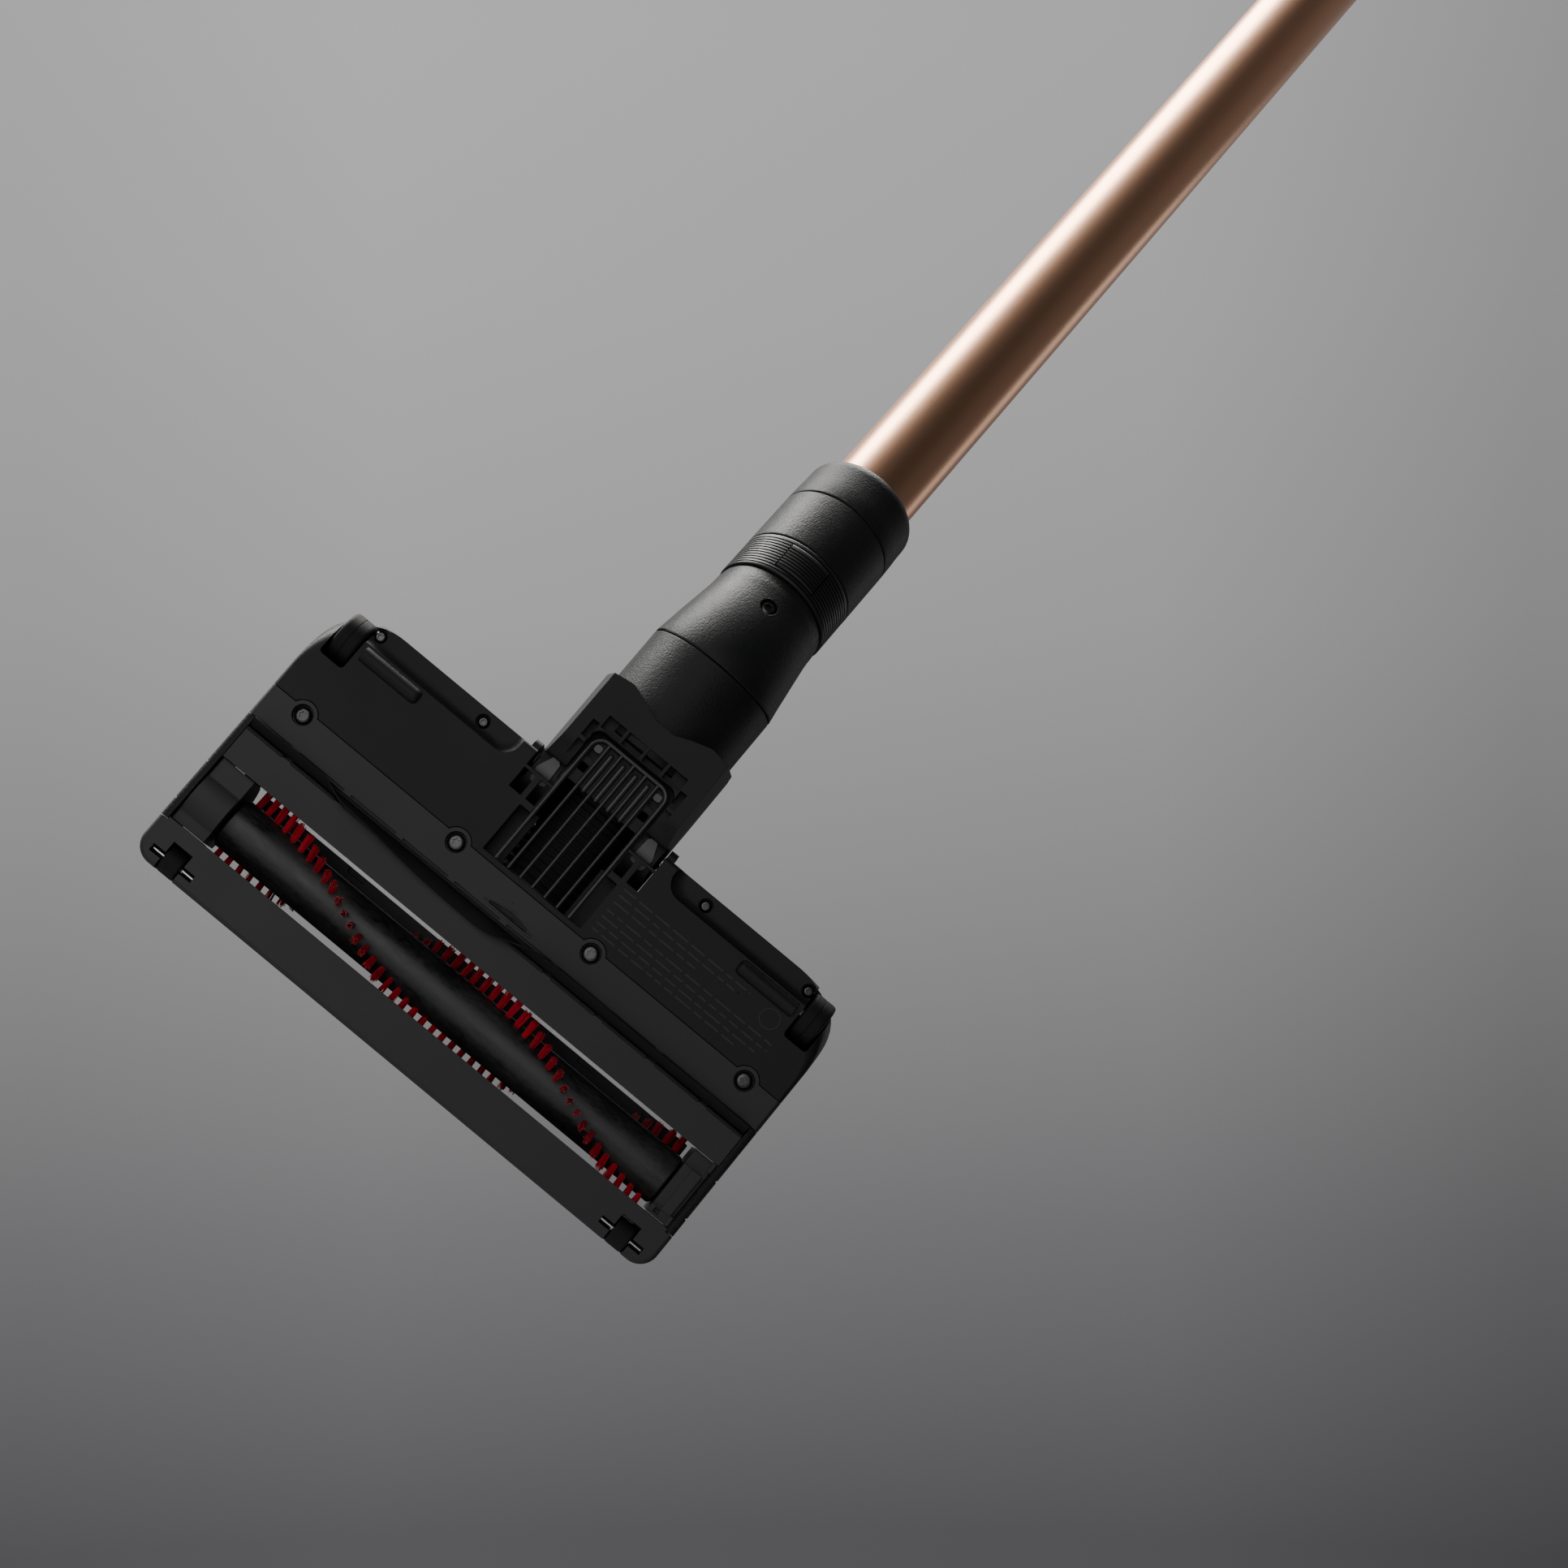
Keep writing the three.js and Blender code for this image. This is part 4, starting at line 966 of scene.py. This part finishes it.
def make_grille_plate():
    """The plate behind the rear of the ribs, and the pads between them."""
    back, edge, corner = GRILLE_BACK - 1, 3 * RIB_PITCH, 5
    corners = [(-edge, 123, 0), (-edge, back - 1, corner), (edge, back - 1, corner), (edge, 123, 0)]
    outline = filleted(corners, 8)
    windows = [window for y in (128, 134) for window in pair(block(12.9, 16.3, y, y + 3.4, -5, 5, 0.5))]
    piece("grille_plate", cut(prism(outline, 1.3, 1.9), *windows), "matte")
    pads = []
    start, end = [(122.4, 1.7), (122.9, 1.35), (123.4, 1.3)], [(-3.6, 1.3), (-3.1, 1.35), (-2.6, 1.7)]
    for x in PAD_X:
        route = [(x, y, z) for y, z in start] + [(x, back + y, z) for y, z in end]
        pads.append(swept(route, [0.5, 1.05, 1.25, 1.25, 1.05, 0.5], 20))
    for x in (-14.4, 14.4):
        pads.append(prism(rectangle(x - 1.5, x + 1.5, back - 5.6, back - 2.8, 0.9), 0.7, 1.6))
    # The pads use the rib look, whose lighter colour is a painted highlight.
    piece("grille_pads", joined(pads), "rib")


def bellows_route(t):
    """Centre line of the hose from the head's duct to the sleeve."""
    keys = ((84.6, DUCT_Z), (112, 22.5), (128, 20.4), (146, 21.3))
    a, b, c, d = (Vector((0, y, z)) for y, z in keys)
    return a * (1 - t) ** 3 + b * 3 * t * (1 - t) ** 2 + c * 3 * t * t * (1 - t) + d * t ** 3


def make_bellows():
    steps, rings, depth = 176, 22, 0.3
    path = [bellows_route(i / steps) for i in range(steps + 1)]
    radii = [DUCT_RADIUS + 0.1 - depth + depth * cos(2 * pi * rings * i / steps) for i in range(steps + 1)]
    inner = [r - 1.2 for r in radii]
    outside, inside = swept(path, radii, 48), swept(path, inner, 48)
    hose = widened(cut(outside, inside))
    stand_in("bellows_hose", hose, "rubber", body=None)
    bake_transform(hose)


def make_duct():
    profile = [(DUCT_RADIUS + 0.8, 55.6), (DUCT_RADIUS + 0.8, 58), (DUCT_RADIUS, 59), (DUCT_RADIUS, 84)]
    duct = widened(endwise(turned(profile, 9.6), 0, DUCT_Z))
    stand_in("suction_duct", duct, "black")


# ------------------------------------------------------------------ neck
def neck_end():
    """Plan of the neck's flat underside: a soft dip in the middle where the sleeve comes through."""
    half = [(27.4, 163.6, 1.5), (19, 164.9, 6), (11, 162.4, 8), (4.5, 159.6, 5)]
    other = [(-x, y, r) for x, y, r in reversed(half)]
    return filleted([(-40, 90, 0), (40, 90, 0), (40, 163.6, 0), *half, *other, (-40, 163.6, 0)], 8)


def make_neck():
    side = filleted([(125, 1.5, 3), (134, -6.4, 6), (166, -8.0, 0), (166, 34, 2), (136, 40, 6)], 5)
    outline = side + arc(HINGE_Y, HINGE_Z, HINGE_LUG, 90, 270, 32)
    chamfer, drop = 3.2, 9
    section = [(-NECK_HALF, 60), (-NECK_HALF, drop), (-NECK_HALF + chamfer, -9), (NECK_HALF - chamfer, -9),
               (NECK_HALF, drop), (NECK_HALF, 60)]
    turn = Matrix.Rotation(-pi / 2, 4, "X") @ Matrix.Scale(-1, 4, (0, 1, 0))
    profile = moved(prism(section, 90, 172), turn)
    fairing = common(cross_prism(outline, -NECK_HALF, NECK_HALF), profile)
    fairing = common(fairing, prism(neck_end(), -20, 60))
    to_head = HEAD_FRAME.inverted() @ SLEEVE_FRAME
    clear = SLEEVE_RADIUS + 0.1
    sleeve_space = moved(turned([(clear, SLEEVE_START - GAP), (clear, 90)], segments=96), to_head)
    hose_space = moved(turned([(15, -5), (15, 60)]), to_head @ Matrix.Scale(NECK_CAVITY / 15, 4, (1, 0, 0)))
    pockets = [block(x, x + 8.4, 144.6, 150.2, -10, -3.5) for x in (-19.2, -9.4, 0.4, 10.2)]
    pockets += side_blocks(19.6, 22.6, 138, 145.4, -10, -2) + side_blocks(19.6, 22.6, 128.5, 136.4, -10, -2)
    shell = cut(fairing, sleeve_space, hose_space,
                block(-NECK_CAVITY, NECK_CAVITY, 90, 132, -10, 28), block(-14.4, 14.4, 90, 132, 27, 60),
                block(-19.6, 19.6, 118, 144.2, -12, 3.2, 4),
                rod(3.2, -40, 40, HINGE_Y, HINGE_Z), *pockets)
    stand_in("neck_shell", shell, "matte", body="neck")
    sleeve = turned(eased_tube(SLEEVE_RADIUS, SLEEVE_START, SLEEVE_END), SLEEVE_BORE, 96)
    stand_in("swivel_sleeve", sleeve, "satin", SLEEVE_FRAME, "neck")


def make_hinge_pads():
    for side, name in SIDES:
        pad = common(rod(HINGE_LUG + 0.8, *sorted((side * 20.4, side * 28.4)), HINGE_Y, HINGE_Z, 96),
                     prism(filleted([(side * 20.8, 114.6, 1), (side * 27.2, 112.8, 2), (side * 28, 119, 1.5),
                                     (side * 24.6, 127.2, 1), (side * 21.4, 124.5, 1)][::side]), 0, 12))
        # The hinge pads use the rib look, whose lighter colour is a painted highlight.
        piece(f"hinge_pad_{name}", pad, "rib", body="neck")


# ------------------------------------------------------------------ elbow, collars, wand
def bent(made):
    """Bends a shape made along Z from the sleeve's axis onto the wand's, as the CAD elbow is bent."""
    down, up = BEND_DISTANCE - SLEEVE_END - GAP, 16
    lean = pi / 2 - HEAD_TILT - SLEEVE_RISE
    start = Vector((-sin(lean), -cos(lean))) * down
    end = Vector((0, up))
    for vertex in made.data.vertices:
        x, y, z = vertex.co
        t = min((z + down) / (down + up), 1)
        beyond = max(z - up, 0)
        centre = start * (1 - t) ** 2 + end * t * t
        along = (start * (t - 1) + end * t).normalized()
        vertex.co = (x, centre.x + along.y * y, centre.y - along.x * y + beyond)
    return made


def make_elbow():
    low = -(BEND_DISTANCE - SLEEVE_END - GAP)
    keys = [(SLEEVE_RADIUS - 0.55, low), (SLEEVE_RADIUS, low + 0.6), (27.75, -5), (27.2, -1), (26.6, 4),
            (25.9, 9), (25.2, 14), (24.65, 18), (24.35, 22), (24.3, 24.9), (23.85, 25.3), (23.8, 28.2),
            (23.3, 29)]
    elbow = turned(keys, [(18, h) for _, h in reversed(keys)], 96)
    screw_y = 24.9
    pocket = endwise(turned([(3.6, screw_y - 3), (3.6, screw_y + 6)]), 0, 14)
    elbow = cut(bent(elbow), pocket)
    stand_in("elbow", elbow, "satin", *ON_WAND)
    screw = moved(screw_shape(3.0, 0, 1.2, 1.6), Matrix.Rotation(pi / 2, 4, "X"))
    piece("elbow_screw", placed(screw, 0, screw_y - 0.3, 14), "steel_dark", *ON_WAND)


def eased_tube(radius, low, high, ease=0.55):
    """A tube's outside with a small chamfer at each end, which leaves a dark seam by its neighbour."""
    return [(radius - ease, low), (radius, low + ease), (radius, high - ease), (radius - ease, high)]


def ribbed_profile(low, high, radius, pitch, depth):
    """Fine grooves round a ring, between two plain lands."""
    points = [(radius - 0.5, low), (radius, low + 0.5), (radius, low + 1.2)]
    z = low + 1.2
    while z + pitch < high - 0.8:
        points += [(radius - depth, z + 0.15), (radius - depth, z + 0.55)]
        points += [(radius, z + 0.7), (radius, z + pitch)]
        z += pitch
    return points + [(radius, high - 0.5), (radius - 0.5, high)]


def make_release_ring():
    ring = turned(ribbed_profile(RING_LOW, RING_HIGH, RING_RADIUS, 1.5, 0.55), 18, 256)
    ring = cut(ring, block(-9.4, 9.4, 10, 30, RING_LOW + 2.9, RING_HIGH - 1.9))
    stand_in("ribbed_ring", ring, "ribbed", *ON_WAND)
    face = ribbed_profile(RING_LOW + 3.3, RING_HIGH - 2.3, RING_RADIUS + 0.3, 1.5, 0.5)
    button = common(turned(face, 20.6, 192), block(-9, 9, 10, 30, 0, 60))
    stand_in("head_release_button", button, "ribbed", WAND_FRAME, "head_release_button")


def make_collars():
    inner = WAND_RADIUS + GAP
    collar = turned(eased_tube(COLLAR_RADIUS, RING_HIGH + GAP, COLLAR_TOP), inner, 96)
    stand_in("wand_collar", collar, "satin", *ON_WAND)
    end = [(COLLAR_RADIUS - 0.6, COLLAR_TOP + GAP), (COLLAR_RADIUS, COLLAR_TOP + 0.9)]
    end += [(24.5, 84), (24.3, 88)]
    end += [(18.9 + 5.3 * cos(a), 94.2 + 5.8 * sin(a)) for a in (radians(10 * k) for k in range(10))]
    stand_in("end_collar", turned(end, inner, 96), "satin", *ON_WAND)
    tube = turned([(WAND_RADIUS, WAND_LOW), (WAND_RADIUS, WAND_HIGH)], WAND_BORE, 128)
    stand_in("wand_tube", tube, "copper", *ON_WAND)


# ------------------------------------------------------------------ handheld unit
def soft_block(x, y0, y1, z0, z1, corner, ease, grooves=()):
    """A block with round corners, eased ends and shallow grooves round it at the given heights."""
    turns = [pi / 2 * i / 5 for i in range(6)]
    low = [(z0 + ease * (1 - cos(a)), ease * (1 - sin(a))) for a in turns]
    high = [(z1 - (z - z0), inset) for z, inset in reversed(low)]
    middle = []
    for z in grooves:
        middle += [(z - 0.6, 0), (z - 0.4, 0.7), (z + 0.4, 0.7), (z + 0.6, 0)]
    rings = []
    for z, inset in low + middle + high:
        outline = rectangle(-x + inset, x - inset, y0 + inset, y1 - inset, max(corner - inset, 0.3), 6)
        rings.append([(px, py, z) for px, py in outline])
    return stack(rings)


def make_battery():
    top = HANDLE_LOW - 0.4
    pack = soft_block(BATTERY_HALF, BATTERY_FRONT, BATTERY_BACK, BATTERY_LOW, top, 8, 3, (top - 14.1,))
    finger_grips = [block(side * 25.3 - 0.9, side * 25.3 + 0.9, 74, 110, z, z + 1.6, 0.3)
                    for side in (1, -1) for z in (712, 717, 722, 727, 732)]
    pack = cut(pack, block(-12.4, 12.4, 95.6, 116.4, 697, 703), *finger_grips)
    stand_in("battery", pack, "satin", *ON_WAND)
    y = BATTERY_FRONT
    lamps = [endwise(turned([(0.9, y - 0.4), (0.9, y + 0.4)], segments=20), x, 748) for x in (-6, 0, 6)]
    piece("charge_lamps", joined(lamps), "gloss", *ON_WAND)


def handle_sections():
    """Inner and outer points of the handle's side outline, in pairs from the housing to the battery."""
    top = HANDLE_TOP
    pairs = [((-24, 910), (-24, top)), ((0, 910.8), (0, top)), ((30, 911.9), (30, top))]
    pairs.append(((54, 912.7), (64, top)))
    for k in range(9):
        a = pi / 2 * (1 - k / 8)
        pairs.append(((62 + 12 * cos(a), 901 + 12 * sin(a)), (86 + 30 * cos(a), top - 30 + 30 * sin(a))))
    return pairs + [((73.2, 888), (114.4, 896)), ((71.6, 858), (111.6, 864)), ((69.4, 826), (108.6, 828)),
                    ((67.6, 796), (106.2, 796)), ((66, HANDLE_LOW), (104, HANDLE_LOW))]


def squared(part):
    """Pushes a sine or cosine outwards, which makes a round section squarer."""
    return abs(part) ** 0.62 * (1 if part > 0 else -1)


def make_handle():
    rings = []
    for inner, outer in handle_sections():
        near, far = Vector(inner), Vector(outer)
        middle, reach = (near + far) / 2, (far - near) / 2
        ring = []
        for k in range(40):
            a = 2 * pi * k / 40
            spot = middle + reach * squared(sin(a))
            ring.append((HANDLE_HALF * squared(cos(a)), spot.x, spot.y))
        rings.append(ring)
    handle = cut(stack(rings), block(-6.3, 6.3, 60, 82, 868, 898), block(-40, 40, -40, 29, 860, 880.3),
                 post(HOUSING_RADIUS + GAP, 800, 1000, 0, HOUSING_Y, 96), post(6.3, 943, 951, 0, 40))
    stand_in("handle", handle, "satin", *ON_WAND)
    ribs = []
    for k in range(9):
        z = 796 + k * 8
        y = 104 + (z - HANDLE_LOW) * 12 / 135 - 0.15
        route = [(x, y - 0.0098 * x * x, z) for x in (-8, -6, -3, 0, 3, 6, 8)]
        ribs.append(swept(route, [0.3, 0.8, 0.9, 0.9, 0.9, 0.8, 0.3], 12))
    piece("grip_ribs", joined(ribs), "rubber", *ON_WAND)
    lens = prism(rectangle(-8, 8, 0, 28, 4), HANDLE_TOP - 0.4, HANDLE_TOP + 0.3)
    piece("display_lens", lens, "gloss", *ON_WAND)


def make_housing_trim():
    """Trim and ribs of the motor housing, the dust cup's rim and the upper collar's ribs."""
    radius = HOUSING_RADIUS
    rings = []
    for z in (871, 944):
        low = [(radius + 0.1, z), (radius + 0.7, z + 0.5)]
        high = [(radius + 0.7, z + 1.9), (radius + 0.1, z + 2.4)]
        rings.append(turned(low + high, radius - 0.4, 128))
    piece("housing_trim", placed(joined(rings), 0, HOUSING_Y), "copper", *ON_WAND)
    ribs = []
    for a in (2 * pi * k / 72 for k in range(72)):
        if sin(a) < 0.9:
            x, y = radius * cos(a), radius * sin(a) + HOUSING_Y
            ribs.append(swept([(x, y, z) for z in (900, 901, 931, 932)], [0.3, 0.75, 0.75, 0.3], 8))
    piece("housing_ribs", joined(ribs), "satin", *ON_WAND)
    outer = CUP_RADIUS + 0.7
    rim = turned([(CUP_RADIUS, 859.6), (outer, 860.2), (outer, 866.6), (CUP_RADIUS, 867.4)], 43.7, 128)
    piece("cup_rim", placed(rim, 0, CUP_Y), "gloss", *ON_WAND)
    band = turned(ribbed_profile(659, 671, 23.8, 1.5, 0.4), 23.3, 128)
    piece("upper_collar_ribs", band, "ribbed", *ON_WAND)


# ------------------------------------------------------------------ assembly
view = make_camera()
make_lights(view)
make_world(view)
make_floor()
LOOKS = make_materials()

make_sole_plate()
make_sole_marks()
make_head_base()
make_axle_bosses()
make_moulded_marks()
make_shells()
make_side_panels()
make_chamber_ends()
make_clips()
make_lip()
make_brush()
make_bristles()
make_wheels()
make_screws()
make_grille()
make_grille_plate()
make_bellows()
make_duct()
make_neck()
make_hinge_pads()
make_elbow()
make_release_ring()
make_collars()
make_battery()
make_handle()
make_housing_trim()
carry_over({
    "drive_motor": "cast", "motor_pulley": "steel", "drive_belt": "rubber", "hinge_pin_left": "steel",
    "hinge_pin_right": "steel", "rear_axle_left": "steel", "rear_axle_right": "steel",
    "wire_channel": "black", "upper_collar": "satin", "wand_release_button": "gloss", "body_spine": "satin",
    "dust_cup": "cup", "cup_door": "cup", "door_latch": "gloss", "cyclone_shroud": "steel",
    "pre_filter": "foam", "motor_housing": "satin", "main_motor": "cast", "impeller": "cast",
    "exhaust_grille": "black", "trigger": "gloss", "mode_button": "gloss", "battery_latch": "gloss",
})
